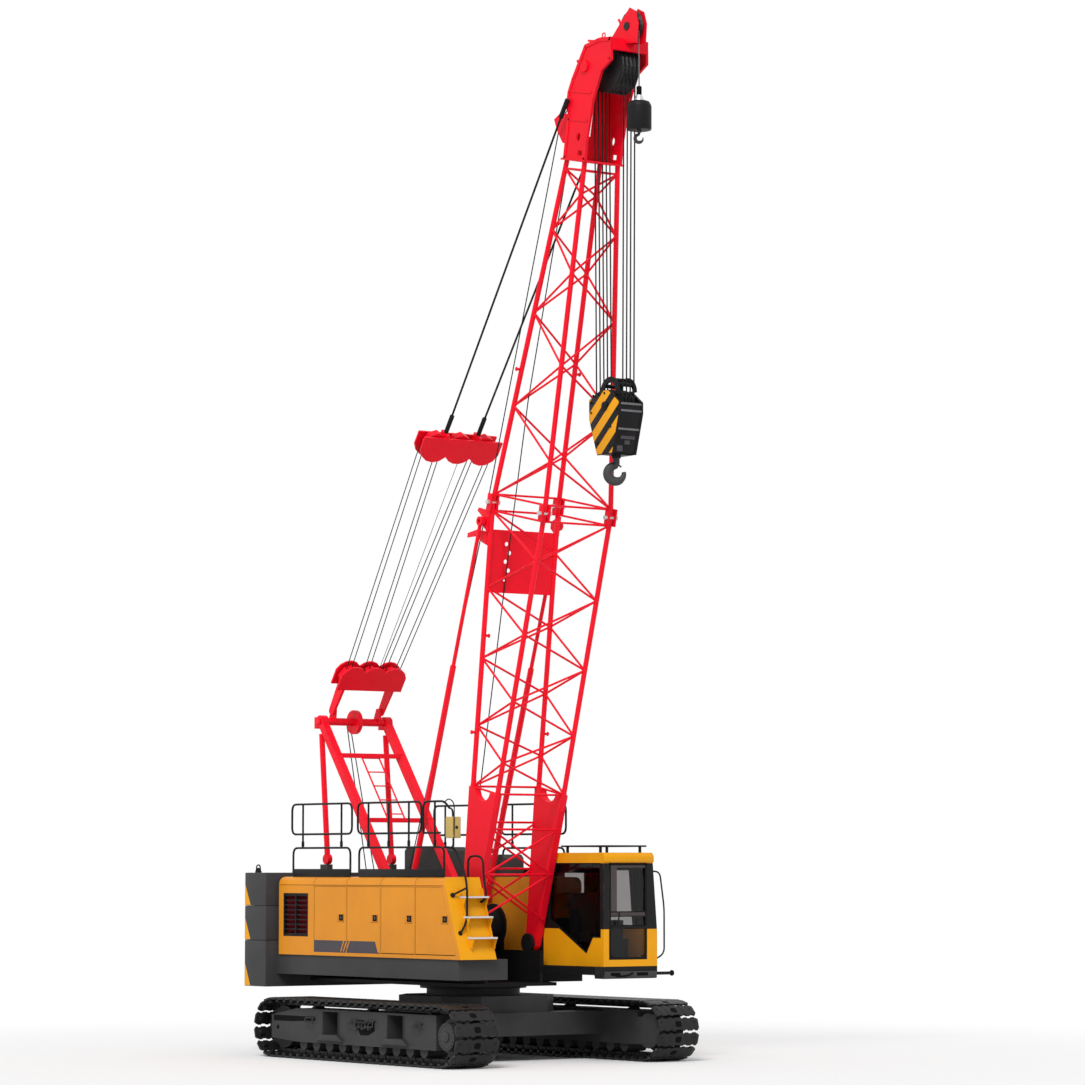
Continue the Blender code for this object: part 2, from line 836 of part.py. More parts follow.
def lifting_lugs(z):
    """Two lifting eyes on the top slab."""
    middle = (weight_front_x + weight_rear_x) / 2
    top = lug_height * lug_top_share
    pieces = []
    for side in (-1, 1):
        y = side * weight_half_y * lug_side_share
        pieces.append(plate(
            [(middle - lug_height, z - weld_lap), (middle + lug_height, z - weld_lap),
             (middle + top, z + lug_height), (middle - top, z + lug_height)],
            y - lug_wall / 2, y + lug_wall / 2))
    return pieces


def hood_outline(inset, bottom):
    """The house's cross-section in Y and Z, with its rounded crown."""
    outer = hood_outer_y - inset
    top = hood_top_z - inset
    turn = disc_points(outer - hood_round, top - hood_round, hood_round, 0, 90, 4)
    return [(hood_inner_y + inset, bottom), (outer, bottom)] + turn + [(hood_inner_y + inset, top)]


def house(side, front_x):
    """An engine house, open below, from its cross-section along X."""
    bottom = deck_top_z + fit_gap
    shell = panel([(side * y, z) for y, z in hood_outline(0.0, bottom)], hood_rear_x, front_x)
    inside = panel(
        [(side * y, z) for y, z in hood_outline(hood_wall, bottom - overrun)],
        hood_rear_x + hood_wall, front_x - hood_wall)
    return shell, inside


def door_cutter(side, start_x, end_low_x, end_high_x):
    """What a door opening takes out of the house's side, with half a post left at each end."""
    start_x, end_low_x, end_high_x = start_x + door_post / 2, end_low_x - door_post / 2, end_high_x - door_post / 2
    outline = [
        (start_x, door_bottom_z), (end_low_x, door_bottom_z), (end_high_x, door_top_z), (start_x, door_top_z)]
    y_from, y_to = sorted((side * (hood_outer_y - door_wall - overrun), side * (hood_outer_y + overrun)))
    return plate(outline, y_from, y_to)


def hood_slope(z):
    """X of the right house's leaning front edge at a height."""
    share = (z - deck_top_z) / (hood_top_z - deck_top_z)
    return hood_foot_x + (hood_crown_x - hood_foot_x) * share


def right_door_ends():
    """Start and the two ends of each right door."""
    spans = []
    for i, start_x in enumerate(door_edges):
        if i + 1 < len(door_edges):
            spans.append((start_x, door_edges[i + 1], door_edges[i + 1]))
        else:
            spans.append((
                start_x, hood_slope(door_bottom_z) - door_front_margin, hood_slope(door_top_z) - door_front_margin))
    return spans


def right_hood():
    """The right house with its leaning front, door openings and grille opening."""
    shell, inside = house(-1, hood_foot_x)
    low, high = deck_top_z - overrun, hood_top_z + overrun
    y_from, y_to = -hood_outer_y - overrun, -hood_inner_y + overrun
    lean = plate(
        [(hood_slope(low), low), (hood_foot_x + overrun, low), (hood_foot_x + overrun, high), (hood_slope(high), high)],
        y_from, y_to)
    inner_lean = plate(
        [(hood_slope(low) - hood_wall, low), (hood_foot_x + overrun, low),
         (hood_foot_x + overrun, high), (hood_slope(high) - hood_wall, high)],
        y_from, y_to)
    cut(inside, [inner_lean])
    openings = [door_cutter(-1, *span) for span in right_door_ends()]
    openings.append(box(
        (grille_span[0], -hood_outer_y - overrun, grille_z_span[0]),
        (grille_span[1], -hood_outer_y + hood_wall + overrun, grille_z_span[1])))
    return cut(shell, [lean, inside] + openings)


def door_hinge_x(start_x):
    """X of a door's hinge edge, close against its post."""
    return start_x + door_post / 2 + fit_gap


def door(side, start_x, end_low_x, end_high_x):
    """A flat door, close at its hinge edge, with an even seam round the rest."""
    edge = door_post / 2 + door_seam
    outline = [
        (door_hinge_x(start_x), door_bottom_z + door_seam), (end_low_x - edge, door_bottom_z + door_seam),
        (end_high_x - edge, door_top_z - door_seam), (door_hinge_x(start_x), door_top_z - door_seam)]
    y_from, y_to = sorted((side * (hood_outer_y - door_wall), side * hood_outer_y))
    return plate(outline, y_from, y_to)


def left_hood():
    """The left house behind the cab."""
    shell, inside = house(1, left_front_x)
    spans = list(zip(left_door_edges, left_door_edges[1:]))
    openings = [door_cutter(1, a, b, b) for a, b in spans]
    return cut(shell, [inside] + openings)


def grille():
    """A louvre panel: a frame, a middle bar and slats."""
    x_from, x_to = grille_span[0] + fit_gap, grille_span[1] - fit_gap
    z_from, z_to = grille_z_span[0] + fit_gap, grille_z_span[1] - fit_gap
    back, face = -hood_outer_y + hood_wall, -hood_outer_y
    wall = grille_wall
    outer = [(x_from, z_from), (x_to, z_from), (x_to, z_to), (x_from, z_to)]
    inner = [
        (x_from + wall, z_from + wall), (x_to - wall, z_from + wall),
        (x_to - wall, z_to - wall), (x_from + wall, z_to - wall)]
    pieces = [ring_plate(outer, inner, face, back)]
    middle = (x_from + x_to) / 2
    pieces.append(box((middle - wall / 2, face, z_from + wall / 2), (middle + wall / 2, back, z_to - wall / 2)))
    for i in range(slat_count):
        z = z_from + (z_to - z_from) * (2 * i + 1) / (2 * slat_count)
        pieces.append(box(
            (x_from + wall / 2, face + wall / 4, z - slat_wall / 2), (x_to - wall / 2, back - wall / 4, z + slat_wall / 2)))
    return fused(pieces)


def front_steps():
    """Three treads on two stringers, up the leaning front of the right house."""
    gap = 2 * fit_gap
    low, high = step_levels[0] - stringer_margin, step_levels[-1] + stringer_margin
    pieces = []
    for y in (-step_outer_y, -step_inner_y):
        rail = [
            (hood_slope(low) + gap, low), (hood_slope(low) + gap + stringer_width, low),
            (hood_slope(high) + gap + stringer_width, high), (hood_slope(high) + gap, high)]
        pieces.append(plate(rail, y - stringer_wall / 2, y + stringer_wall / 2))
        for z in step_levels:
            foot = z - step_depth
            bracket = [
                (hood_slope(foot) + stringer_width / 2, foot), (hood_slope(z) + step_depth, z),
                (hood_slope(z) + stringer_width / 2, z)]
            pieces.append(plate(bracket, y - stringer_wall / 4, y + stringer_wall / 4))
    for z in step_levels:
        pieces.append(box(
            (hood_slope(z) + gap + stringer_width / 4, -step_outer_y - stringer_wall, z),
            (hood_slope(z) + step_depth, -step_inner_y + stringer_wall, z + step_wall)))
    return fused(pieces)


def roof_box(place):
    """A closed box with cut edges on the left house's roof."""
    start, end = roof_box_spans[place]
    low = hood_top_z + fit_gap
    high = low + roof_box_heights[place]
    cut_edge = roof_box_round
    return plate(
        [(start, low), (end, low), (end, high - cut_edge), (end - cut_edge, high), (start + cut_edge, high),
         (start, high - cut_edge)],
        roof_box_inner_y, roof_box_outer_y)


def cab_outline(inset):
    """The cab's cross-section in Y and Z, leaning in on the left."""
    knee_z = cab_floor_z + (cab_roof_z - cab_floor_z) * cab_knee_share
    return [
        (cab_right_y + inset, cab_floor_z + inset), (cab_left_y - inset, cab_floor_z + inset),
        (cab_left_y - inset, knee_z), (cab_left_y - cab_lean - inset, cab_roof_z - inset),
        (cab_right_y + inset, cab_roof_z - inset)]


def cab_shell():
    """The hollow cab with its windows and doorway cut."""
    shell = panel(cab_outline(0.0), cab_rear_x, cab_front_x)
    inside = panel(cab_outline(cab_wall), cab_rear_x + cab_wall, cab_front_x - cab_wall)
    return cut(shell, [inside] + cab_openings())


def right_window_outline(gap):
    """The right window, with its low point in front of the seat."""
    top, front = cab_roof_z - cab_header - gap, cab_front_x - cab_post - gap
    rear = cab_rear_x + cab_rear_post + gap
    return [
        (rear, cab_floor_z + right_sill_rear + gap), (cab_front_x - right_low_back, cab_floor_z + right_sill_low + 2 * gap),
        (cab_front_x - right_notch_back - gap, cab_floor_z + right_sill_front + gap),
        (front, cab_floor_z + right_sill_front + gap), (front, top), (rear, top)]


def windscreen_box(gap, x_from, x_to):
    """The windscreen's block between two values of X."""
    return box(
        (x_from, cab_right_y + windscreen_margin + gap, cab_floor_z + windscreen_sill + gap),
        (x_to, cab_left_y - cab_lean - windscreen_margin - gap, cab_roof_z - cab_header - gap))


def rear_window_box(gap, x_from, x_to):
    """The rear window's block between two values of X."""
    return box(
        (x_from, cab_right_y + cab_rear_post + gap, cab_floor_z + rear_window_sill + gap),
        (x_to, cab_left_y - cab_lean - cab_rear_post - gap, cab_roof_z - rear_window_header - gap))


def cab_openings():
    """Windscreen, right, left and rear windows and the doorway."""
    wall = cab_wall
    right = plate(right_window_outline(0.0), cab_right_y - overrun, cab_right_y + wall + overrun)
    front = windscreen_box(0.0, cab_front_x - wall - overrun, cab_front_x + overrun)
    rear = rear_window_box(0.0, cab_rear_x - overrun, cab_rear_x + wall + overrun)
    way = box(
        (cab_door_span[0], cab_left_y - cab_lean - wall - overrun, cab_floor_z + cab_door_sill),
        (cab_door_span[1], cab_left_y + overrun, cab_roof_z - cab_door_drop))
    return [right, front, rear, way]


def cab_glass():
    """The windscreen, right window and rear window, each close in its opening."""
    inset, wall, gap = glass_inset, glass_wall, fit_gap
    return {
        "windscreen": windscreen_box(gap, cab_front_x - inset - wall, cab_front_x - inset),
        "rear_window": rear_window_box(gap, cab_rear_x + inset, cab_rear_x + inset + wall),
        "right_window": plate(right_window_outline(gap), cab_right_y + inset, cab_right_y + inset + wall)}


def door_skin(outer, inner, x_from, x_to, z_from, z_to):
    """A piece of the cab's left side between two depths, cut to a block in X and Z."""
    skin = panel(cab_outline(outer), x_from, x_to)
    core = panel(cab_outline(inner), x_from - overrun, x_to + overrun)
    ends = [(z_to, cab_roof_z + overrun), (cab_floor_z - overrun, z_from)]
    outside = [
        box((x_from - overrun, cab_right_y - overrun, low), (x_to + overrun, cab_left_y + overrun, high))
        for low, high in ends]
    right = box(
        (x_from - overrun, cab_right_y - overrun, cab_floor_z - overrun),
        (x_to + overrun, cab_right_y + 2 * cab_wall, cab_roof_z + overrun))
    return cut(skin, [core, right] + outside)


def door_window_span():
    """Ends of the door's window in X and Z."""
    return (
        cab_door_span[0] + door_frame, cab_door_span[1] - door_frame,
        cab_floor_z + door_window_sill, cab_roof_z - cab_door_drop - door_frame)


def cab_door():
    """The door, cut from the cab's own section, with its window."""
    seam = door_seam
    x_from, x_to, z_from, z_to = door_window_span()
    skin = door_skin(
        0.0, cab_wall, cab_door_span[0] + fit_gap, cab_door_span[1] - 2 * seam,
        cab_floor_z + cab_door_sill + seam, cab_roof_z - cab_door_drop - seam)
    window = box(
        (x_from, cab_left_y - cab_lean - cab_wall - overrun, z_from), (x_to, cab_left_y + overrun, z_to))
    return combine(skin, [window], "DIFFERENCE")


def door_window():
    """The glass in the door."""
    x_from, x_to, z_from, z_to = door_window_span()
    gap = fit_gap
    return door_skin(glass_inset, glass_inset + glass_wall, x_from + gap, x_to - gap, z_from + gap, z_to - gap)


def cab_guard():
    """A flat guard frame on posts over the cab's roof."""
    x_from, x_to = cab_rear_x + guard_rear_margin, cab_front_x - guard_margin
    y_from, y_to = cab_right_y + guard_margin, cab_left_y - cab_lean - guard_margin
    low, high = cab_roof_z + guard_rise - guard_wall, cab_roof_z + guard_rise
    bar, post = guard_bar, guard_post
    frame = box((x_from, y_from, low), (x_to, y_to, high))
    spans = [0.0, *guard_bar_shares, 1.0]
    run = x_to - x_from
    gaps = []
    for a, b in zip(spans, spans[1:]):
        start = x_from + run * a + (bar if a == 0.0 else bar / 4)
        end = x_from + run * b - (bar if b == 1.0 else bar / 4)
        gaps.append(box((start, y_from + bar, low - overrun), (end, y_to - bar, high + overrun)))
    cut(frame, gaps)
    posts = []
    for share in guard_post_shares:
        x = x_from + run * share
        for y in (y_from + bar / 2, y_to - bar / 2):
            posts.append(box(
                (x - post / 2, y - bar / 4, cab_roof_z + fit_gap), (x + post / 2, y + bar / 4, low + weld_lap)))
    return combine(frame, posts, "UNION")


def seat():
    """The driver's seat: pedestal, cushion and leaning back."""
    x, z = cab_rear_x + seat_from_rear, cab_floor_z + cab_wall + fit_gap
    y = (cab_right_y + cab_left_y - cab_lean) / 2
    top = z + seat_height
    low, high = top - seat_cushion / 2, top + seat_back_height
    rear = x - seat_length / 2 + weld_lap
    back = [
        (rear, low), (rear + seat_back_wall, low), (rear + seat_back_wall - seat_back_lean, high), (rear - seat_back_lean, high)]
    return fused([
        box((x - seat_pedestal / 2, y - seat_pedestal / 2, z), (x + seat_pedestal / 2, y + seat_pedestal / 2, low)),
        box((x - seat_length / 2, y - seat_width / 2, top - seat_cushion), (x + seat_length / 2, y + seat_width / 2, top)),
        plate(back, y - seat_back_width / 2, y + seat_back_width / 2)])


def console():
    """The control box and its column in front of the seat."""
    x, z = cab_front_x - console_from_front, cab_floor_z + cab_wall + fit_gap
    y = (cab_right_y + cab_left_y - cab_lean) / 2
    top = z + console_height
    return fused([
        box((x - console_length / 2, y - console_width / 2, z), (x + console_length / 2, y + console_width / 2, top)),
        box((x - column_length / 2, y - column_width / 2, top - weld_lap),
            (x + column_length / 2, y + column_width / 2, top + column_height))])


def drum(place):
    """A winch drum with its flanges and shaft, about Y at the origin."""
    radius, flange = drum_radius_list[place], drum_flange_list[place]
    half, wall = drum_half_width, drum_flange_wall
    end = girder_y - girder_wall / 2 - fit_gap
    profile = [
        (0.0, -end), (drum_shaft_radius, -end), (drum_shaft_radius, -half), (flange, -half),
        (flange, -half + wall), (radius, -half + wall), (radius, half - wall), (flange, half - wall),
        (flange, half), (drum_shaft_radius, half), (drum_shaft_radius, end), (0.0, end)]
    return turned(profile, 24)


def gantry_front():
    """The gantry's front legs, cross members and top shaft with its sheave."""
    pieces = []
    foot, top = Vector((gantry_foot_x, 0.0, gantry_foot_z)), Vector((gantry_top_x, 0.0, gantry_top_z))
    run = (top - foot).normalized()
    side_way = Vector((run.z, 0.0, -run.x)) * gantry_leg / 2
    for side in (-1, 1):
        y_from, y_to = side * gantry_y - gantry_leg / 2, side * gantry_y + gantry_leg / 2
        corners = (foot - side_way, top - side_way, top + side_way, foot + side_way)
        leg = plate([(corner.x, corner.z) for corner in corners], y_from, y_to)
        pieces.append(fused([
            leg, across(foot.x, foot.z, gantry_foot_radius, y_from, y_to),
            across(top.x, top.z, gantry_top_radius, y_from, y_to)]))
        y = side * bridle_pin_y
        half = bridle_lug_head
        pieces.append(plate(
            [(top.x - bridle_lug_foot, top.z), (top.x + bridle_lug_foot, top.z),
             (bridle_pin_x + half, bridle_pin_z + half), (bridle_pin_x - half, bridle_pin_z + half)],
            y - bridle_lug_wall / 2, y + bridle_lug_wall / 2))
        end = side * (bridle_pin_y + 3 * bridle_lug_wall / 2 + fit_gap)
        pieces.append(across(bridle_pin_x, bridle_pin_z, bridle_pin_radius, y, end))
    for share in gantry_bar_shares:
        place = top + (foot - top) * share
        pieces.append(box(
            (place.x - gantry_bar / 2, -gantry_y, place.z - gantry_bar / 4),
            (place.x + gantry_bar / 2, gantry_y, place.z + gantry_bar / 4)))
    pieces.append(across(top.x, top.z, shaft_radius, -gantry_y, gantry_y))
    pieces.append(across(top.x, top.z, bridle_sheave_radius, -aux_wall / 2, aux_wall / 2, 20))
    bores = [
        across(foot.x, foot.z, bore_radius(stop_pin_radius), -gantry_y - gantry_leg, gantry_y + gantry_leg)]
    return cut(fused(pieces), bores)


def gantry_rear(side):
    """One rear leg of the gantry, a bar with an eye at its foot."""
    y = side * gantry_y
    foot = (rear_foot_x, y, rear_foot_z)
    top = (gantry_top_x - rear_top_back, y, gantry_top_z - gantry_top_radius - rear_top_gap)
    return fused([
        rod(foot, top, rear_leg_radius, chord_sides),
        across(rear_foot_x, rear_foot_z, rear_eye_radius, y - rear_eye_half, y + rear_eye_half)])


def lobed_outline(half_width, way):
    """A bridle plate in X and Y: one straight edge, and three round lobes towards way."""
    radius, step = half_width * lobe_radius_share, half_width * lobe_step_share
    inner = math.degrees(math.asin(step / 2 / radius))
    outer = math.degrees(math.asin((half_width - step) / radius))
    base = bridle_depth / 2 - radius
    points = disc_points(base, -step, radius, -outer, inner, 6)
    points += disc_points(base, 0.0, radius, -inner, inner, 6)[1:]
    points += disc_points(base, step, radius, -inner, outer, 6)[1:]
    points += [(-bridle_depth / 2, half_width), (-bridle_depth / 2, -half_width)]
    return [(way * x, y) for x, y in points]


def bridle(half_width, way, arms_to=None):
    """A bridle drawn along X: two lobed plates with three double sheaves between them."""
    depth, wall, spread = bridle_depth, bridle_wall, bridle_half_gap
    outline = lobed_outline(half_width, way)
    pieces = []
    for side in (-1, 1):
        low = side * spread - wall / 2
        pieces.append(slab(outline, low, low + wall))
    x = way * (depth / 2 - half_width * lobe_radius_share)
    for place in (-1, 0, 1):
        y = place * lobe_step_share * half_width
        pieces.append(rod((x, y, -spread), (x, y, spread), shaft_radius, 12))
        pieces.append(rod((x, y, -bridle_sheave_half), (x, y, bridle_sheave_half), bridle_sheave_radius))
    for side in (-1, 1):
        if arms_to is None:
            y = side * pendant_y
            pieces.append(box(
                (depth / 4, y - pendant_lug_wall / 2, -spread),
                (depth / 2 + pendant_lug_length, y + pendant_lug_wall / 2, spread)))
            continue
        y = side * (bridle_pin_y + bridle_lug_wall + fit_gap)
        end = -depth / 2 + 2 * weld_lap
        eye = disc_points(arms_to, 0.0, bridle_eye_radius, 100, 260, 7)
        arm = plate(eye + [(end, -spread), (end, spread)], y - bridle_lug_wall / 2, y + bridle_lug_wall / 2)
        bore = across(arms_to, 0.0, bore_radius(bridle_pin_radius), y - bridle_lug_wall, y + bridle_lug_wall)
        pieces.append(cut(arm, [bore]))
    return fused(pieces)


def stations(start_x, end_x, shares):
    """Distances along the boom where the lacing meets the chords."""
    return [start_x + (end_x - start_x) * share for share in shares]


def lattice(places, start_x, end_x):
    """Chords, and lacing whose nodes change between one diagonal pair of chords and the other."""
    pieces = []
    for side in (-1, 1):
        for face in (-1, 1):
            pieces.append(rod(chord_point(start_x, side, face), chord_point(end_x, side, face), chord_radius))
    for i, (near, far) in enumerate(zip(places, places[1:])):
        way = 1 if i % 2 else -1
        for side in (-1, 1):
            pieces.append(lace(chord_point(near, side, way * side), chord_point(far, side, -way * side), 1))
        for face in (-1, 1):
            pieces.append(lace(chord_point(near, way * face, face), chord_point(far, -way * face, face), 2))
    for x in (places[0], places[-1]):
        for face in (-1, 1):
            pieces.append(lace(chord_point(x, -1, face), chord_point(x, 1, face), 3))
        for side in (-1, 1):
            pieces.append(lace(chord_point(x, side, -1), chord_point(x, side, 1), 4))
    return pieces


def flanges(x_from, x_to):
    """A block on each chord's end, flat against its neighbour's."""
    pieces = []
    for side in (-1, 1):
        for face in (-1, 1):
            x, y, z = chord_point(section_length, side, face)
            pieces.append(box((x_from, y - flange_half, z - flange_half), (x_to, y + flange_half, z + flange_half)))
    return pieces


def lace(start, end, turns):
    """One lacing bar, turned a little so that no two bars' edges run into each other."""
    return rod(start, end, lace_radius, lace_sides, twist=turns * lace_twist)


def foot_leg(side):
    """One plate leg from its foot eye to the chords, with a round notch between them."""
    y = side * boom_width / 2
    half = boom_rise(leg_length)
    edge = half + leg_edge_share * chord_radius
    notch = [
        (leg_length - leg_notch * x, half * leg_notch_share * rise)
        for x, rise in disc_points(0.0, 0.0, 1.0, 90, -90, 7)]
    outline = [(0.0, -foot_lug_radius), (leg_length, -edge)] + notch[::-1] + [(leg_length, edge), (0.0, foot_lug_radius)]
    leg = fused([
        plate(outline, y - leg_wall / 2, y + leg_wall / 2),
        across(0.0, 0.0, foot_lug_radius, y - leg_wall / 2, y + leg_wall / 2)])
    return cut(leg, [across(0.0, 0.0, bore_radius(foot_pin_radius), y - leg_wall, y + leg_wall)])


def leg_bracing():
    """Crossed bars and ties between the two legs, on both faces."""
    pieces = []
    levels = [leg_length * share for share in leg_brace_shares]
    half = boom_width / 2
    for face in (-1, 1):
        for low, high in zip(levels, levels[1:]):
            for way in (-1, 1):
                start = (low, -way * half, face * boom_rise(low))
                end = (high, way * half, face * boom_rise(high))
                pieces.append(lace(start, end, max(way, 0)))
        for x in levels[1:]:
            pieces.append(lace((x, -half, face * boom_rise(x)), (x, half, face * boom_rise(x)), 2))
    return pieces


def guide_panel():
    """The plate between the rear chords that keeps the hoist ropes off the lacing, with its row of holes."""
    low, high = guide_panel_span
    wall = guide_panel_wall / 2
    outline = [
        (low, boom_rise(low) - wall), (high, boom_rise(high) - wall), (high, boom_rise(high) + wall),
        (low, boom_rise(low) + wall)]
    skin = plate(outline, -boom_width / 2, boom_width / 2)
    holes = []
    for i, share in enumerate(guide_hole_shares):
        x = low + (high - low) * share
        y = guide_hole_y + (guide_hole_radius if i % 2 else -guide_hole_radius)
        rise = boom_rise(x)
        holes.append(rod((x, y, rise - overrun), (x, y, rise + overrun), guide_hole_radius))
    return cut(skin, holes)


def boom_base():
    """The base section: two plate legs that grow into four laced chords."""
    pieces = lattice(
        stations(leg_length, section_length, base_station_shares), leg_length - chord_lap,
        section_length - flange_wall / 2)
    pieces += flanges(section_length - flange_wall, section_length - fit_gap)
    for side in (-1, 1):
        pieces.append(foot_leg(side))
        lug_y = sorted((side * (boom_width / 2), side * (stop_y - eye_wall / 2 - overrun)))
        foot, head = stop_lug_foot, stop_lug_head
        pieces.append(plate(
            [(stop_eye_x - foot, boom_rise(stop_eye_x)), (stop_eye_x + foot, boom_rise(stop_eye_x)),
             (stop_eye_x + head, stop_eye_rise + head), (stop_eye_x - head, stop_eye_rise + head)],
            lug_y[0], lug_y[1]))
    pieces += leg_bracing()
    pieces.append(guide_panel())
    return fused(pieces)


def boom_top():
    """The top section, laced to the head's frame."""
    pieces = lattice(
        stations(section_length, head_start, top_station_shares), section_length + flange_wall / 2,
        head_start + overrun)
    pieces += flanges(section_length + fit_gap, section_length + flange_wall)
    end = box((head_start - fit_gap, -boom_width, -mid_depth), (head_start + 3 * overrun, boom_width, mid_depth))
    return cut(fused(pieces), [end])


def head_point(share_pair):
    """A point of the head, from shares of its length and depth."""
    along, rise = share_pair
    return (head_start + (boom_length - head_start) * along, tip_depth * rise)


def boom_head():
    """The head: end frame, two side plates with webs between them, nose, fins and rope guide."""
    frame_y, frame_rise = tip_width / 2 + head_frame_margin, tip_depth / 2 + head_frame_margin
    wall = head_frame_wall
    inner_y, inner_rise = tip_width / 2 - head_frame_margin, tip_depth / 2 - head_frame_margin
    frame = box((head_start, -frame_y, -frame_rise), (head_start + wall, frame_y, frame_rise))
    cut(frame, [box((head_start - overrun, -inner_y, -inner_rise), (head_start + wall + overrun, inner_y, inner_rise))])
    pieces = [frame]
    outline = [head_point(pair) for pair in head_outline_shares]
    for side in (-1, 1):
        y = side * head_plate_y
        pieces.append(plate(outline, y - head_plate_wall / 2, y + head_plate_wall / 2))
        pieces.append(across(anchor_x, anchor_rise, socket_radius, y, side * (anchor_y - socket_radius - fit_gap)))
        y = side * fin_y
        pieces.append(plate([head_point(pair) for pair in fin_shares], y - fin_wall / 2, y + fin_wall / 2))
        y = guide_bracket_y + side * guide_bracket_half
        pieces.append(plate([head_point(pair) for pair in guide_bracket_shares], y - fin_wall / 2, y + fin_wall / 2))
    roller_x, roller_rise = head_point(guide_roller_shares)
    pieces.append(across(
        roller_x, roller_rise, guide_roller_radius, guide_bracket_y - guide_bracket_half, guide_bracket_y + guide_bracket_half))
    length = boom_length - head_start
    rise = tip_depth / 2
    web = head_web_wall
    rear = box((head_start, -head_plate_y, rise - web / 2), (head_start + length * rear_web_share, head_plate_y, rise + web / 2))
    slot = box(
        (head_start + length * web_slot_shares[0], -web_slot_half, rise - overrun),
        (head_start + length * web_slot_shares[1], web_slot_half, rise + overrun))
    pieces.append(cut(rear, [slot]))
    pieces.append(box(
        (head_start, -head_plate_y, -rise - web / 2), (head_start + length * front_web_share, head_plate_y, -rise + web / 2)))
    nose_x, nose_top = head_point(nose_shares[:2])
    nose_low = tip_depth * nose_shares[2]
    pieces.append(box((nose_x, -head_plate_y, nose_low), (nose_x + web * 2, head_plate_y, nose_top)))
    return fused(pieces)


def sheave_pack(radius, groove, pitch, count, half_shaft, shaft):
    """Sheaves side by side on their shaft, about Y at the origin."""
    profile = [(0.0, -half_shaft), (shaft, -half_shaft)]
    start = -pitch * count / 2
    rim = pitch * sheave_rim_share
    profile.append((shaft, start))
    for i in range(count):
        low = start + pitch * i
        profile += [(radius, low + rim), (radius - groove, low + pitch / 2), (radius, low + pitch - rim)]
        if i + 1 < count:
            profile.append((radius - 2 * groove, low + pitch))
    profile += [(shaft, -start), (shaft, half_shaft), (0.0, half_shaft)]
    return turned(profile, 20)


def hook_block():
    """The main hook block: side plates, sheaves and the cross-head, hanging from the head's axis."""
    z = -block_drop
    outline = [(block_length * x, z + block_height * rise) for x, rise in block_outline_shares]
    pieces = []
    for side in (-1, 1):
        y = side * block_half_y
        pieces.append(plate(outline, y - block_wall / 2, y + block_wall / 2))
    pack = sheave_pack(block_sheave_radius, sheave_groove, sheave_pitch, block_sheave_count, block_half_y, shaft_radius)
    pieces.append(moved(pack, (0.0, 0.0, z + block_sheave_rise)))
    low = z - block_height / 2
    half = block_foot_half
    pieces.append(box((-half, -block_half_y, low), (half, block_half_y, low + block_foot_height)))
    return fused(pieces)


def hook(radius, thickness, shank, drop, turn=0.0):
    """A hook on its shank below the origin, its point towards +X before it is turned about Z."""
    centre_z = -drop
    path = [(0.0, 0.0, 0.0), (0.0, 0.0, centre_z + radius)]
    sizes = [shank, shank]
    fat = thickness / 2 * hook_fat_share
    for i in range(1, hook_steps + 1):
        share = i / hook_steps
        angle = math.radians(90 + hook_sweep * share)
        path.append((radius * math.cos(angle), 0.0, centre_z + radius * math.sin(angle)))
        sizes.append(fat * (1 - 2 * max(0.0, share - hook_taper_share)))
    curve = bpy.data.curves.new("hook", "CURVE")
    curve.dimensions = "3D"
    curve.bevel_depth = 1.0
    curve.bevel_resolution = 1
    curve.use_fill_caps = True
    spline = curve.splines.new("POLY")
    spline.points.add(len(path) - 1)
    for point, place, size in zip(spline.points, path, sizes):
        point.co = (*place, 1.0)
        point.radius = size
    return from_curve(curve, Matrix.Rotation(turn, 4, "Z"))


def aux_ball():
    """The ball weight with its swivel socket and hook, hanging from the aux sheave's axis."""
    top = ball_height / 2
    cone, neck, tip = (top + ball_height * share for share in ball_neck_shares)
    rim = ball_radius - ball_edge / 2
    profile = [
        (0.0, tip), (ball_neck_radius, tip), (ball_neck_radius, neck), (ball_cone_radius, cone), (rim, top),
        (ball_radius, top - ball_edge), (ball_radius, -top + ball_edge), (rim, -top), (ball_neck_radius, -top), (0.0, -top)]
    weight = turned(profile, ball_sides)
    weight.data.transform(Matrix.Rotation(math.pi / 2, 4, "X"))
    claw = moved(hook(aux_hook_bend, aux_hook_thickness, aux_hook_shank, aux_hook_drop), (0.0, 0.0, -top + weld_lap))
    return fused([weight, claw])


def stop_barrel(length):
    """A backstop's barrel along X with its eye and an open bore."""
    base = fused([
        rod((eye_radius * eye_neck_share, 0.0, 0.0), (length * barrel_share, 0.0, 0.0), barrel_radius),
        across(0.0, 0.0, eye_radius, -eye_wall / 2, eye_wall / 2)])
    bore = rod(
        (length * barrel_bore_share, 0.0, 0.0), (length * barrel_share + overrun, 0.0, 0.0), rod_radius + pin_play)
    eye = across(0.0, 0.0, bore_radius(stop_pin_radius), -eye_wall, eye_wall)
    return cut(base, [bore, eye])


def stop_rod(length):
    """A backstop's rod along X with its eye."""
    base = fused([
        rod((length * rod_start_share, 0.0, 0.0), (length - eye_radius * eye_neck_share, 0.0, 0.0), rod_radius),
        across(length, 0.0, eye_radius, -eye_wall / 2, eye_wall / 2)])
    return cut(base, [across(length, 0.0, bore_radius(stop_pin_radius), -eye_wall, eye_wall)])


def hoop(start, end, y, low, high):
    """A rail bent down at both ends."""
    corner = rail_corner
    return tube(
        [(start, y, low), (start, y, high - corner), (start + corner, y, high), (end - corner, y, high),
         (end, y, high - corner), (end, y, low)], rail_radius, 0)


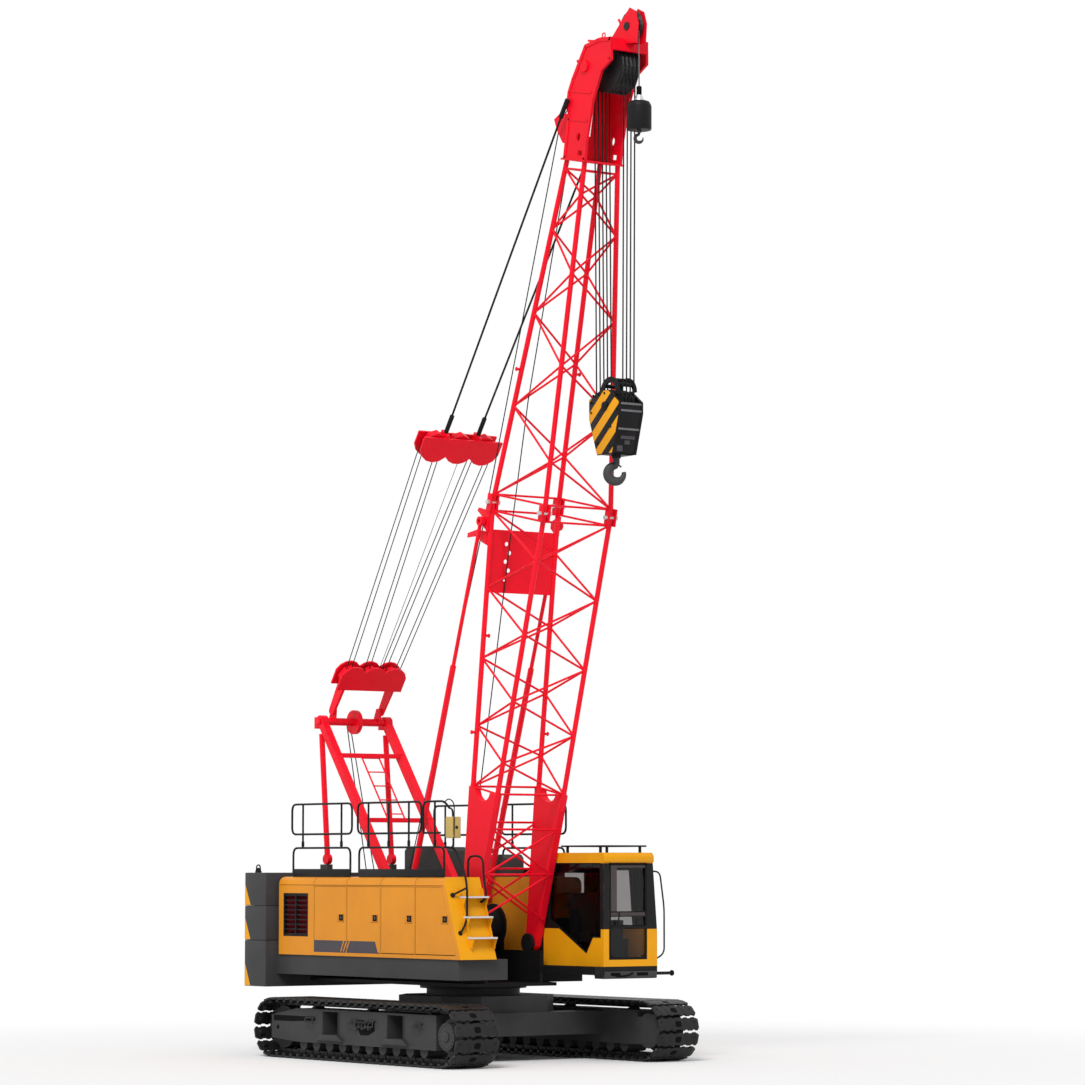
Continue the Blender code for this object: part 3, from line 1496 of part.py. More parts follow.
def handrail(side, start, end):
    """A toe board with two tiers of hoops and their posts."""
    y = side * (hood_outer_y - rail_inset)
    base = hood_top_z
    pieces = [box((start, y - toe_wall / 2, base + fit_gap), (end, y + toe_wall / 2, base + toe_height))]
    pieces.append(hoop(start, end, y, base + lower_hoop_rises[0], base + lower_hoop_rises[1]))
    low, high = base + upper_hoop_rises[0], base + upper_hoop_rises[1]
    a, b = start - upper_hoop_grow, end + upper_hoop_grow
    pieces.append(hoop(a, b, y, low, high))
    pieces.append(tube([(a, y, low + rail_radius / 2), (b, y, low + rail_radius / 2)], rail_radius, 0))
    for share in rail_post_shares:
        x = start + (end - start) * share
        foot = base + lower_hoop_rises[1] - rail_radius / 2
        pieces.append(rod((x, y, foot), (x, y, high), rail_post_radius, 6))
    return pieces


def assemble():
    """Builds every piece and hangs it on its axis."""
    red = paint("boom_red", (0.74, 0.008, 0.022), 0.4, 0.0)
    orange = paint("house_orange", (0.70, 0.27, 0.02), 0.4, 0.0)
    yellow = paint("cab_yellow", (0.74, 0.35, 0.01), 0.4, 0.0)
    grey = paint("dark_grey", (0.06, 0.06, 0.06), 0.5, 0.0)
    black = paint("black_steel", (0.02, 0.02, 0.02), 0.6, 0.3)
    rope_steel = paint("rope_steel", (0.05, 0.05, 0.05), 0.5, 0.8)
    glass = paint("dark_glass", (0.03, 0.03, 0.035), 0.1, 0.0)
    bright = paint("bright_steel", (0.6, 0.6, 0.6), 0.3, 0.9)
    fabric = paint("seat_fabric", (0.03, 0.03, 0.03), 0.9, 0.0)

    stay_end = boom_place(anchor_x, anchor_rise)
    stay_x, stay_z = stay_end[0] - bridle_pin_x, stay_end[1] - bridle_pin_z
    stay_length, stay_angle = math.hypot(stay_x, stay_z), math.atan2(stay_z, stay_x)
    eye = boom_place(stop_eye_x, stop_eye_rise)
    stop_x, stop_z = eye[0] - stop_foot_x, eye[1] - stop_foot_z
    stop_length, stop_angle = math.hypot(stop_x, stop_z), math.atan2(stop_z, stop_x)
    ball_x = boom_place(aux_x, -aux_drop)[0] + ball_x_offset
    shift = -(ball_x + ball_radius + weight_rear_x) / 2

    machine_axis = axis("machine_centre", (shift, 0.0, 0.0))
    slew = axis("slew_axis", (0.0, 0.0, 0.0), machine_axis)
    hang(car_body(), "car_body", grey, machine_axis)
    for side, word in ((-1, "right"), (1, "left")):
        hang(side_frame(side), f"{word}_track_frame", grey, machine_axis)
        hang(track(side), f"{word}_track", black, machine_axis)

    hang(deck_frame(), "deck_frame", grey, slew)
    hang(side_deck(-1, deck_front_x), "right_deck", grey, slew)
    hang(side_deck(1, cab_rear_x - skirt_wall), "left_deck", grey, slew)
    hang(cab_deck(), "cab_deck", grey, slew)
    levels = list(zip(("lower", "middle", "upper"), weight_levels, weight_levels[1:]))
    for word, low, high in levels:
        piece = counterweight_slab(low, high if word == "upper" else high - fit_gap)
        if word == "upper":
            combine(piece, lifting_lugs(high), "UNION")
        hang(piece, f"counterweight_{word}", grey, slew)
    hang(right_hood(), "right_house", orange, slew)
    hang(left_hood(), "left_house", orange, slew)
    hang(grille(), "right_grille", black, slew)
    for i, span in enumerate(right_door_ends()):
        hinge = (door_hinge_x(span[0]), -hood_outer_y, door_bottom_z)
        point = axis(f"right_door_{i + 1}_hinge", hinge, slew)
        hang(door(-1, *span), f"right_door_{i + 1}", orange, point, hinge)
    for i, (a, b) in enumerate(zip(left_door_edges, left_door_edges[1:])):
        hinge = (door_hinge_x(a), hood_outer_y, door_bottom_z)
        point = axis(f"left_door_{i + 1}_hinge", hinge, slew)
        hang(door(1, a, b, b), f"left_door_{i + 1}", orange, point, hinge)
    engine_low, engine_y = deck_top_z + fit_gap, (hood_inner_y + engine_inset, hood_outer_y - engine_inset - hood_wall)
    engine = box(
        (engine_span[0], -engine_y[1], engine_low), (engine_span[1], -engine_y[0], engine_low + engine_height))
    hang(engine, "engine", black, slew)
    hang(front_steps(), "front_steps", bright, slew)
    for i, word in enumerate(("rear", "front")):
        hang(roof_box(i), f"left_roof_box_{word}", grey, slew)

    hang(cab_shell(), "cab_shell", yellow, slew)
    hinge = (cab_door_span[0] + fit_gap, cab_left_y, cab_floor_z)
    point = axis("cab_door_hinge", hinge, slew)
    hang(cab_door(), "cab_door", yellow, point, hinge)
    hang(door_window(), "door_window", glass, point, hinge)
    for name, pane in cab_glass().items():
        hang(pane, name, glass, slew)
    hang(cab_guard(), "cab_guard", black, slew)
    hang(seat(), "cab_seat", fabric, slew)
    hang(console(), "cab_console", black, slew)
    for i, word in enumerate(("main", "aux", "boom")):
        point = axis(f"{word}_drum_axis", (drum_x_list[i], 0.0, drum_z_list[i]), slew)
        hang(drum(i), f"{word}_drum", grey, point)

    hang(gantry_front(), "gantry_front", red, slew)
    for side, word in ((-1, "right"), (1, "left")):
        hang(gantry_rear(side), f"{word}_gantry_rear", red, slew)

    bridle_pin = axis("bridle_pin", (bridle_pin_x, 0.0, bridle_pin_z), slew, stay_angle)
    piece = bridle(lower_half_width, 1, -lower_bridle_at)
    hang(piece, "lower_bridle", red, bridle_pin, (-lower_bridle_at, 0.0, 0.0))
    hang(bridle(upper_half_width, -1), "upper_bridle", red, bridle_pin, (-upper_bridle_at, 0.0, 0.0))
    for side, word in ((-1, "right"), (1, "left")):
        start_x = upper_bridle_at + bridle_depth / 2 + pendant_lug_length + fit_gap
        rope = fused([
            rod((start_x, side * pendant_y, 0.0), (stay_length, side * anchor_y, 0.0), pendant_radius, 8),
            rod((start_x, side * pendant_y, 0.0), (start_x + socket_length, side * pendant_y, 0.0), socket_radius, 8),
            rod((stay_length - socket_length, side * anchor_y, 0.0), (stay_length, side * anchor_y, 0.0), socket_radius, 8)])
        hang(rope, f"{word}_pendant", rope_steel, bridle_pin)

    foot = axis("boom_foot", (foot_x, 0.0, foot_z), slew, luff_angle)
    hang(boom_base(), "boom_base", red, foot)
    hang(boom_top(), "boom_top", red, foot)
    hang(boom_head(), "boom_head", red, foot)
    head = axis("head_axis", (boom_length, 0.0, -head_sheave_drop), foot, -luff_angle)
    shaft = head_plate_y - head_plate_wall / 2 - fit_gap
    sheaves = sheave_pack(sheave_radius, sheave_groove, sheave_pitch, sheave_count, shaft, shaft_radius)
    hang(sheaves, "head_sheaves", grey, head)
    hang(hook_block(), "hook_block", black, head)
    swivel = axis("main_hook_swivel", (0.0, 0.0, -block_drop - block_height / 2 - fit_gap), head)
    claw = hook(main_hook_bend, main_hook_thickness, hook_shank_radius, main_hook_drop, main_hook_turn)
    hang(claw, "main_hook", black, swivel)
    aux = axis("aux_axis", (aux_x, 0.0, -aux_drop), foot, -luff_angle)
    shaft = fin_y - fin_wall / 2 - fit_gap
    hang(sheave_pack(aux_radius, sheave_groove, aux_wall, 1, shaft, shaft_radius), "aux_sheave", grey, aux)
    hang(aux_ball(), "aux_ball", black, aux, (-ball_x_offset, 0.0, ball_drop))

    for side, word in ((-1, "right"), (1, "left")):
        point = axis(f"{word}_stop_pin", (stop_foot_x, side * stop_y, stop_foot_z), slew, stop_angle)
        hang(stop_barrel(stop_length), f"{word}_stop_barrel", red, point)
        hang(stop_rod(stop_length), f"{word}_stop_rod", red, point)
    rear_start = hood_rear_x + rail_rear_margin
    for side, word, end_x in ((-1, "right", right_rail_end_x), (1, "left", left_rail_end_x)):
        hang(fused(handrail(side, rear_start, rail_rear_end_x)), f"{word}_handrail_rear", black, slew)
        hang(fused(handrail(side, rail_front_start_x, end_x)), f"{word}_handrail_front", black, slew)


start()
assemble()
bpy.data.scenes.remove(bench)
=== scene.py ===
# A crawler crane with a lattice boom, finished and lit for a studio picture.
import json
import math

import bmesh
import bpy
from mathutils import Matrix, Vector

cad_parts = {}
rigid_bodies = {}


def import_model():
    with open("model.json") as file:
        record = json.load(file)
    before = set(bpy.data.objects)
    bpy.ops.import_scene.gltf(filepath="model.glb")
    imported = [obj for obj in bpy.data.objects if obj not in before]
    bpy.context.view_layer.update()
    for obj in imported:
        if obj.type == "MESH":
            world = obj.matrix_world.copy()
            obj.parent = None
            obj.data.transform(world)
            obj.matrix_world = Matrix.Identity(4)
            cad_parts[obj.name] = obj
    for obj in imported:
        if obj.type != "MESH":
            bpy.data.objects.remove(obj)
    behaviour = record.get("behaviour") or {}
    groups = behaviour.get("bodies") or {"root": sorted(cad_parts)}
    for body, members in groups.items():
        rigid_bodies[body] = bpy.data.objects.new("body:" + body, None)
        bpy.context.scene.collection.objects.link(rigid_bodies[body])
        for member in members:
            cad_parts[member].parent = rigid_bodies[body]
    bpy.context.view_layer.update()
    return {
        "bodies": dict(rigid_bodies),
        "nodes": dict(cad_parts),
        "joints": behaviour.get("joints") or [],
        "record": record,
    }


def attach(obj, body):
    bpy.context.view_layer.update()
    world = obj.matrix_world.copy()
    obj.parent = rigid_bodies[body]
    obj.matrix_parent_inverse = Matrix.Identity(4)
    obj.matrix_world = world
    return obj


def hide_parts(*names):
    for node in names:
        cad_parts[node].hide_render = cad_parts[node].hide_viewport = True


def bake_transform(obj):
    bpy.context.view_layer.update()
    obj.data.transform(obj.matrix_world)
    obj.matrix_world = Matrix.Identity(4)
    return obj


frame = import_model()
nodes = frame["nodes"]
joints = {joint["name"]: joint for joint in frame["joints"]}
scene = bpy.context.scene
print("frame loaded")

boom = {
    "luffAngle": 78.6,      # degrees above the deck, at rest
    "footX": 0.706,         # from the slew axis
    "legEnd": 2.3, "sectionEnd": 6.5, "headStart": 11.62, "length": 13.0,  # along it, from the foot pin
    "footDepth": 0.27, "midDepth": 1.32, "tipDepth": 0.44, "width": 1.20, "tipWidth": 0.60,
}
slewX = joints["boom_luff"]["pos_m"][0] - boom["footX"]


def jointPlace(name):
    # every piece is drawn from the slew axis, and finishPiece puts it in its place
    x, y, z = joints[name]["pos_m"]
    return Vector((x - slewX, y, z))


def turned(angle):
    return Matrix.Rotation(-angle, 4, "Y")


boomFrame = Matrix.Translation(jointPlace("boom_luff")) @ turned(math.radians(boom["luffAngle"]))
stayWay = joints["stay_haul"]["axis"]
stayFrame = Matrix.Translation(jointPlace("stay_swing")) @ turned(math.atan2(stayWay[2], stayWay[0]))
headCentre, auxCentre = jointPlace("main_falls"), jointPlace("aux_fall")


def boomPoint(along, side, rise):
    # along the boom from its foot pin, to the left, and out of its upper face
    return boomFrame @ Vector((along, side, rise))


def taper(along, foot, middle, tip):
    # a size that changes evenly to the boom's middle joint, and from there to its head
    if along <= boom["sectionEnd"]:
        return foot + (middle - foot) * along / boom["sectionEnd"]
    share = (along - boom["sectionEnd"]) / (boom["headStart"] - boom["sectionEnd"])
    return middle + (tip - middle) * share


def halfDepth(along):
    return taper(along, boom["footDepth"], boom["midDepth"], boom["tipDepth"]) / 2


def halfWidth(along):
    return taper(along, boom["width"], boom["width"], boom["tipWidth"]) / 2


# camera at the photograph's angle, low and far off
cameraSetup = {
    "place": (48.575, -34.226, 2.870),
    "azimuth": 36.065,      # degrees from +X towards -Y, where the camera stands
    "pitch": 4.687,         # degrees it looks up
    "lens": 131.04, "sensor": 36.0,
}


def addCamera(setup):
    data = bpy.data.cameras.new("photoCamera")
    data.lens, data.sensor_width, data.clip_end = setup["lens"], setup["sensor"], 500.0
    camera = bpy.data.objects.new("photoCamera", data)
    scene.collection.objects.link(camera)
    azimuth, pitch = math.radians(setup["azimuth"]), math.radians(setup["pitch"])
    ahead = Vector((-math.cos(azimuth) * math.cos(pitch), math.sin(azimuth) * math.cos(pitch), math.sin(pitch)))
    right = ahead.cross(Vector((0.0, 0.0, 1.0))).normalized()
    turn = Matrix((right, right.cross(ahead), -ahead)).transposed()
    camera.matrix_world = Matrix.Translation(setup["place"]) @ turn.to_4x4()
    scene.camera = camera


addCamera(cameraSetup)
print("camera set")


def node(tree, kind, *sources, **values):
    # a shader node: values go to its settings and inputs by name, sources to its inputs in order
    new = tree.nodes.new("ShaderNode" + kind)
    for key, value in [*values.items(), *enumerate(sources)]:
        if isinstance(key, str) and hasattr(new, key):
            setattr(new, key, value)
            continue
        socket = new.inputs[key.replace("_", " ") if isinstance(key, str) else key]
        if isinstance(value, bpy.types.NodeSocket):
            tree.links.new(value, socket)
        else:
            socket.default_value = value
    return new


def both(tree, first, second, operation="MULTIPLY"):
    return node(tree, "Math", first, second, operation=operation).outputs[0]


def above(tree, value, edge):
    # 1 where the value is above the edge
    return both(tree, value, edge, "GREATER_THAN")


def sums(tree, place, terms):
    # a weighted sum of the object's coordinates
    split = node(tree, "SeparateXYZ", place.outputs["Object"])
    total = 0.0
    for axis, weight in terms.items():
        total = node(tree, "Math", split.outputs[axis], weight, total, operation="MULTIPLY_ADD").outputs[0]
    return total


def within(tree, place, axis, low, high):
    return both(tree, above(tree, sums(tree, place, {axis: 1.0}), low),
                above(tree, sums(tree, place, {axis: -1.0}), -high))


def seenRay(tree):
    # 1 for rays that see the background directly, in a mirror or through glass
    rays = node(tree, "LightPath").outputs
    first = both(tree, rays["Is Camera Ray"], rays["Is Glossy Ray"], "MAXIMUM")
    return both(tree, first, rays["Is Transmission Ray"], "MAXIMUM")


made = {}


def newTree(name, empty=True):
    # a material by this name, kept in made; its shader nodes are cleared or left as they come
    made[name] = bpy.data.materials.new(name)
    made[name].use_nodes = True
    if empty:
        made[name].node_tree.nodes.clear()
    return made[name].node_tree


# light and floor
white = (1.0, 1.0, 1.0, 1.0)
studio = {
    "skyLevel": 0.62, "sunLevel": 2.1, "sunTowards": (0.50, -0.62, 0.80),
    "sunSize": 24.0,        # degrees, for soft shadows
    "floorSize": 400.0, "floorShade": 0.86,
    "floorFade": (9.0, 17.0),  # the floor turns into the backdrop between these distances
}


def addStudio(values):
    scene.world = bpy.data.worlds.new("studioWorld")
    scene.world.use_nodes = True
    tree = scene.world.node_tree
    tree.nodes.clear()
    lit = node(tree, "Background", Color=white, Strength=values["skyLevel"])
    seen = node(tree, "Background", Color=white, Strength=1.0)
    mix = node(tree, "MixShader", seenRay(tree), lit.outputs[0], seen.outputs[0])
    node(tree, "OutputWorld", mix.outputs[0])
    light = bpy.data.lights.new("key", "SUN")
    light.energy, light.angle = values["sunLevel"], math.radians(values["sunSize"])
    key = bpy.data.objects.new("key", light)
    key.rotation_mode = "QUATERNION"
    key.rotation_quaternion = Vector(values["sunTowards"]).to_track_quat("Z", "Y")
    scene.collection.objects.link(key)

    bm = bmesh.new()
    bmesh.ops.create_grid(bm, x_segments=1, y_segments=1, size=values["floorSize"] / 2)
    mesh = bpy.data.meshes.new("floor")
    bm.to_mesh(mesh)
    bm.free()
    floor = bpy.data.objects.new("floor", mesh)
    scene.collection.objects.link(floor)
    tree = newTree("paleFloor")
    shade = values["floorShade"]
    plain = node(tree, "BsdfDiffuse", Color=(shade, shade, shade, 1.0))
    glow = node(tree, "Emission", Color=white, Strength=1.0)
    reach = node(tree, "VectorMath", node(tree, "TexCoord").outputs["Object"], operation="LENGTH")
    fade = node(tree, "MapRange", reach.outputs["Value"], *values["floorFade"], interpolation_type="SMOOTHSTEP")
    share = both(tree, fade.outputs[0], seenRay(tree))
    mix = node(tree, "MixShader", share, plain.outputs[0], glow.outputs[0])
    node(tree, "OutputMaterial", mix.outputs[0])
    mesh.materials.append(made["paleFloor"])
    scene.view_settings.view_transform = "Standard"


addStudio(studio)
print("floor and light set")

# finishes: colour, colour where worn, roughness, shine, how far the colour strays, fineness, bump, metal
finishes = {
    "boomRed": ((0.86, 0.004, 0.020), (0.40, 0.006, 0.012), 0.38, 0.16, 0.09, 900.0, 0.03, 0.0),
    "houseOrange": ((0.70, 0.262, 0.016), (0.42, 0.17, 0.03), 0.38, 0.16, 0.07, 700.0, 0.02, 0.0),
    "cabYellow": ((0.78, 0.335, 0.006), (0.46, 0.20, 0.02), 0.36, 0.16, 0.07, 700.0, 0.02, 0.0),
    "deckGrey": ((0.046, 0.046, 0.048), (0.13, 0.13, 0.13), 0.50, 0.18, 0.16, 500.0, 0.05, 0.0),
    "stripeGrey": ((0.070, 0.062, 0.072), (0.15, 0.13, 0.13), 0.45, 0.14, 0.10, 500.0, 0.02, 0.0),
    "frameGrey": ((0.044, 0.044, 0.045), (0.15, 0.14, 0.13), 0.54, 0.16, 0.20, 400.0, 0.06, 0.0),
    "blackPaint": ((0.009, 0.009, 0.010), (0.07, 0.07, 0.07), 0.46, 0.14, 0.20, 500.0, 0.05, 0.0),
    "deepBlack": ((0.004, 0.004, 0.004), (0.012, 0.012, 0.012), 0.65, 0.06, 0.20, 300.0, 0.10, 0.0),
    "trackSteel": ((0.016, 0.016, 0.017), (0.20, 0.195, 0.19), 0.42, 0.30, 0.30, 260.0, 0.12, 0.3),
    "brightSteel": ((0.62, 0.62, 0.62), (0.80, 0.80, 0.80), 0.32, 0.50, 0.10, 600.0, 0.05, 0.8),
    "wireRope": ((0.011, 0.012, 0.013), (0.05, 0.05, 0.05), 0.52, 0.12, 0.20, 400.0, 0.05, 0.0),
    "greyRope": ((0.16, 0.16, 0.17), (0.30, 0.30, 0.30), 0.50, 0.20, 0.20, 400.0, 0.05, 0.2),
    "forgedGrey": ((0.050, 0.050, 0.052), (0.18, 0.18, 0.18), 0.48, 0.22, 0.20, 300.0, 0.10, 0.1),
    "brass": ((0.66, 0.42, 0.10), (0.80, 0.60, 0.25), 0.38, 0.40, 0.15, 500.0, 0.05, 0.3),
    "boxTan": ((0.56, 0.39, 0.12), (0.70, 0.55, 0.30), 0.45, 0.20, 0.12, 500.0, 0.04, 0.0),
    "coreRed": ((0.17, 0.008, 0.012), (0.10, 0.02, 0.02), 0.60, 0.12, 0.30, 200.0, 0.20, 0.0),
    "rubber": ((0.008, 0.008, 0.008), (0.03, 0.03, 0.03), 0.75, 0.12, 0.20, 500.0, 0.08, 0.0),
    # painted shade: this dark grey stands for the shaded cab interior seen through the windscreen
    "smokedBand": ((0.070, 0.056, 0.058), (0.10, 0.085, 0.085), 0.50, 0.12, 0.08, 500.0, 0.03, 0.0),
    "seatCloth": ((0.020, 0.020, 0.022), (0.04, 0.04, 0.04), 0.85, 0.12, 0.20, 300.0, 0.15, 0.0),
}
wear = {"reach": 0.006, "patch": 11.0, "from": 0.46, "to": 0.66, "weight": 0.75}


def addRamp(tree, value, finish):
    colour, stray = finishes[finish][0], finishes[finish][4]
    ramp = node(tree, "ValToRGB", value)
    for stop, position, change in zip(ramp.color_ramp.elements, (0.35, 0.70), (-stray, stray * 0.5)):
        stop.position = position
        stop.color = (*(part * (1.0 + change) for part in colour), 1.0)
    return ramp.outputs["Color"]


def edgeWear(tree, place):
    # near 1 on edges, where a patchy noise lets the finish be rubbed through
    eased = node(tree, "Bevel", samples=4, Radius=wear["reach"])
    shape = node(tree, "NewGeometry")
    turn = node(tree, "VectorMath", eased.outputs["Normal"], shape.outputs["Normal"], operation="DOT_PRODUCT")
    edge = node(tree, "MapRange", turn.outputs["Value"], 0.99, 0.80, 0.0, 1.0)
    patch = node(tree, "TexNoise", place.outputs["Object"], Scale=wear["patch"], Detail=6.0)
    holes = node(tree, "MapRange", patch.outputs["Fac"], wear["from"], wear["to"], 0.0, wear["weight"])
    return both(tree, edge.outputs[0], holes.outputs[0])


def addSurface(tree, finish, other=None, zone=None):
    # a mottled colour, rubbed edges, an uneven gloss and a fine bump, on the tree's Principled shader
    _, worn, rough, shine, _, grain, depth, metal = finishes[finish]
    shader = tree.nodes["Principled BSDF"]
    shader.inputs["Metallic"].default_value = metal
    shader.inputs["Specular IOR Level"].default_value = shine
    place = node(tree, "TexCoord")
    wide = node(tree, "TexNoise", place.outputs["Object"], Scale=1.7, Detail=5.0, Roughness=0.6).outputs["Fac"]
    fine = node(tree, "TexNoise", place.outputs["Object"], Scale=grain, Detail=2.0)
    gloss = node(tree, "MapRange", wide, 0.0, 1.0, rough - 0.06, rough + 0.10)
    bump = node(tree, "Bump", Strength=depth, Distance=0.002, Height=fine.outputs["Fac"])
    colour = addRamp(tree, wide, finish)
    if zone:
        mix = node(tree, "Mix", data_type="RGBA", Factor=zone(tree, place), A=colour, B=addRamp(tree, wide, other))
        colour = mix.outputs["Result"]
    bare = node(tree, "RGB")
    bare.outputs[0].default_value = (*worn, 1.0)
    rubbed = node(tree, "Mix", data_type="RGBA", Factor=edgeWear(tree, place), A=colour, B=bare.outputs[0])
    for name, source in (("Roughness", gloss.outputs[0]), ("Normal", bump.outputs[0]),
                         ("Base Color", rubbed.outputs["Result"])):
        tree.links.new(source, shader.inputs[name])


def paint(name):
    if name not in made:
        addSurface(newTree(name, False), name)
    return made[name]


cab = {
    "rearX": 0.86, "frontX": 2.35, "rightY": 0.68, "leftY": 1.67, "lean": 0.09, "floorZ": 1.405, "roofZ": 3.07,
    "skin": 0.02,           # how deep the outside paint reaches
    "blackFrom": 1.95, "blackTo": 2.915,
}
hood = {
    "rearX": -3.19, "footX": 1.72, "crownX": 1.28, "outerY": 1.43, "innerY": 0.79, "deckZ": 1.52, "topZ": 2.71,
    "round": 0.11, "creaseZ": 2.585,
}
stepLevels = (1.82, 2.12, 2.41)


def cabZone(tree, place):
    # inside the walls, and the dark band round the windows
    skin, inside = cab["skin"], 1.0
    for axis, low, high in (("X", cab["rearX"] + slewX, cab["frontX"] + slewX),
                            ("Y", cab["rightY"], cab["leftY"] - cab["lean"]), ("Z", cab["floorZ"], cab["roofZ"])):
        inside = both(tree, inside, within(tree, place, axis, low + skin, high - skin))
    return both(tree, inside, within(tree, place, "Z", cab["blackFrom"], cab["blackTo"]), "MAXIMUM")


def hoodZone(tree, place):
    slope = (hood["footX"] - hood["crownX"]) / (hood["topZ"] - hood["deckZ"])
    edge = hood["footX"] + slewX + slope * hood["deckZ"]
    return above(tree, sums(tree, place, {"X": 1.0, "Z": slope}), edge - 0.004)


def warningZone(tree, place):
    # diagonal bands
    bands = node(tree, "Math", sums(tree, place, {"X": 2.55, "Z": -2.95}), operation="FRACT")
    return above(tree, bands.outputs[0], 0.55)


def treadZone(tree, place):
    # the level treads of the front steps
    treads = 0.0
    for level in stepLevels:
        treads = both(tree, treads, within(tree, place, "Z", level - 0.004, level + 0.029), "MAXIMUM")
    return treads


for name, base, other, zone in (
        ("cabPaint", "cabYellow", "blackPaint", cabZone), ("hoodPaint", "houseOrange", "cabYellow", hoodZone),
        ("blockStripes", "cabYellow", "blackPaint", warningZone), ("stepPaint", "cabYellow", "brightSteel", treadZone)):
    addSurface(newTree(name, False), base, other, zone)


def paintGlass(name, tint, share):
    # thin tinted glass: it lets light straight through, with a faint smudged reflection on top
    tree = newTree(name)
    smudge = node(tree, "TexNoise", Scale=6.0, Detail=3.0)
    rough = node(tree, "MapRange", smudge.outputs["Fac"], 0.0, 1.0, 0.02, 0.09)
    through = node(tree, "BsdfTransparent", Color=(*tint, 1.0))
    mirror = node(tree, "BsdfGlossy", Roughness=rough.outputs[0])
    mix = node(tree, "MixShader", share, through.outputs[0], mirror.outputs[0])
    node(tree, "OutputMaterial", mix.outputs[0])


paintGlass("tintedGlass", (0.70, 0.69, 0.69), 0.022)

nodeFinishes = {
    "boomRed": "boom_base boom_top boom_head gantry_front right_gantry_rear left_gantry_rear lower_bridle "
               "upper_bridle right_stop_barrel left_stop_barrel right_stop_rod left_stop_rod",
    "houseOrange": "left_house right_door_1 right_door_2 right_door_3 right_door_4 left_door_1 left_door_2",
    "hoodPaint": "right_house",
    "cabPaint": "cab_shell cab_door",
    "deckGrey": "right_deck left_deck left_roof_box_rear left_roof_box_front",
    "frameGrey": "car_body right_track_frame left_track_frame",
    "trackSteel": "head_sheaves aux_sheave",
    # deck_frame takes black as painted shade: it stands for the shadow round the boom's foot brackets
    "blackPaint": "hook_block aux_ball right_grille cab_console engine cab_guard deck_frame cab_deck",
    "stepPaint": "front_steps",
    "wireRope": "main_drum aux_drum boom_drum right_pendant left_pendant",
    "tintedGlass": "windscreen right_window rear_window door_window",
    "seatCloth": "cab_seat",
}
for finish, names in nodeFinishes.items():
    for name in names.split():
        nodes[name].data.materials.clear()
        nodes[name].data.materials.append(paint(finish))
print("finishes on the solids")


def addBlock(bm, a, b, place=Matrix()):
    low, high = Vector([*map(min, a, b)]), Vector([*map(max, a, b)])
    verts = bmesh.ops.create_cube(bm, size=1.0)["verts"]
    bmesh.ops.transform(bm, matrix=place @ Matrix.LocRotScale((low + high) / 2, None, high - low), verts=verts)


def addBar(bm, start, end, radius, sides=12, endRadius=None):
    start, end = Vector(start), Vector(end)
    run = end - start
    verts = bmesh.ops.create_cone(
        bm, cap_ends=True, segments=sides, depth=run.length, radius1=radius,
        radius2=radius if endRadius is None else endRadius)["verts"]
    matrix = Matrix.Translation((start + end) / 2) @ run.to_track_quat("Z", "Y").to_matrix().to_4x4()
    bmesh.ops.transform(bm, matrix=matrix, verts=verts)


def addPin(bm, spot, start, end, radius, sides=12, place=Matrix()):
    # a bar across, from y start to y end
    addBar(bm, *(place @ Vector((spot[0], y, spot[1])) for y in (start, end)), radius, sides)


def oblong(x0, z0, x1, z1):
    return [(x0, z0), (x1, z0), (x1, z1), (x0, z1)]


def circle(x, y, radius, count=20, stretch=1.0):
    return [(x + radius * math.cos(a), y + radius * stretch * math.sin(a))
            for a in (math.tau * k / count for k in range(count))]


def addPrism(bm, outline, low, high, axis="Y", place=Matrix()):
    # a plate from its outline: (x, z) along Y, (y, z) along X, or (x, y) along Z
    put = {"Y": lambda a, b, c: (a, c, b), "X": lambda a, b, c: (c, a, b), "Z": lambda a, b, c: (a, b, c)}[axis]
    verts = [bm.verts.new(put(a, b, low)) for a, b in outline]
    grown = bmesh.ops.extrude_face_region(bm, geom=[bm.faces.new(verts)])["geom"]
    tops = [part for part in grown if isinstance(part, bmesh.types.BMVert)]
    bmesh.ops.translate(bm, vec=Vector(put(0.0, 0.0, high - low)), verts=tops)
    bmesh.ops.transform(bm, matrix=place, verts=verts + tops)


def addPlate(bm, outline, y, half, place=Matrix()):
    addPrism(bm, outline, y - half, y + half, "Y", place)


def rounded(points, radius, steps=5, closed=False):
    # the same path with its corners rounded
    points = [Vector(point) for point in points]
    count = len(points)
    path = [] if closed else [points[0]]
    for i in range(0 if closed else 1, count if closed else count - 1):
        before, corner, after = points[i - 1], points[i], points[(i + 1) % count]
        reach = min(radius, (before - corner).length / 2.05, (after - corner).length / 2.05)
        start, end = (corner + (point - corner).normalized() * reach for point in (before, after))
        for step in range(steps + 1):
            t = step / steps
            path.append(start * (1 - t) ** 2 + corner * 2 * t * (1 - t) + end * t ** 2)
    return path if closed else path + [points[-1]]


def addTube(bm, path, radius, sides=10, closed=False):
    # a round tube along a path; radius is one number, or one for each point
    path = [Vector(point) for point in path]
    count = len(path)
    radii = radius if isinstance(radius, list) else [radius] * count
    rings = []
    normal = (path[1] - path[0]).normalized().orthogonal().normalized()
    for i, point in enumerate(path):
        after = path[(i + 1) % count if closed else min(i + 1, count - 1)]
        way = (after - path[i - 1 if closed else max(i - 1, 0)]).normalized()
        normal = (normal - way * normal.dot(way)).normalized()
        side = way.cross(normal)
        rings.append([bm.verts.new(point + normal * x + side * y) for x, y in circle(0.0, 0.0, radii[i], sides)])
    for low, high in zip(rings, rings[1:] + rings[:1] if closed else rings[1:]):
        for k in range(sides):
            bm.faces.new((low[k], low[(k + 1) % sides], high[(k + 1) % sides], high[k]))
    if not closed:
        bm.faces.new(rings[0][::-1])
        bm.faces.new(rings[-1])


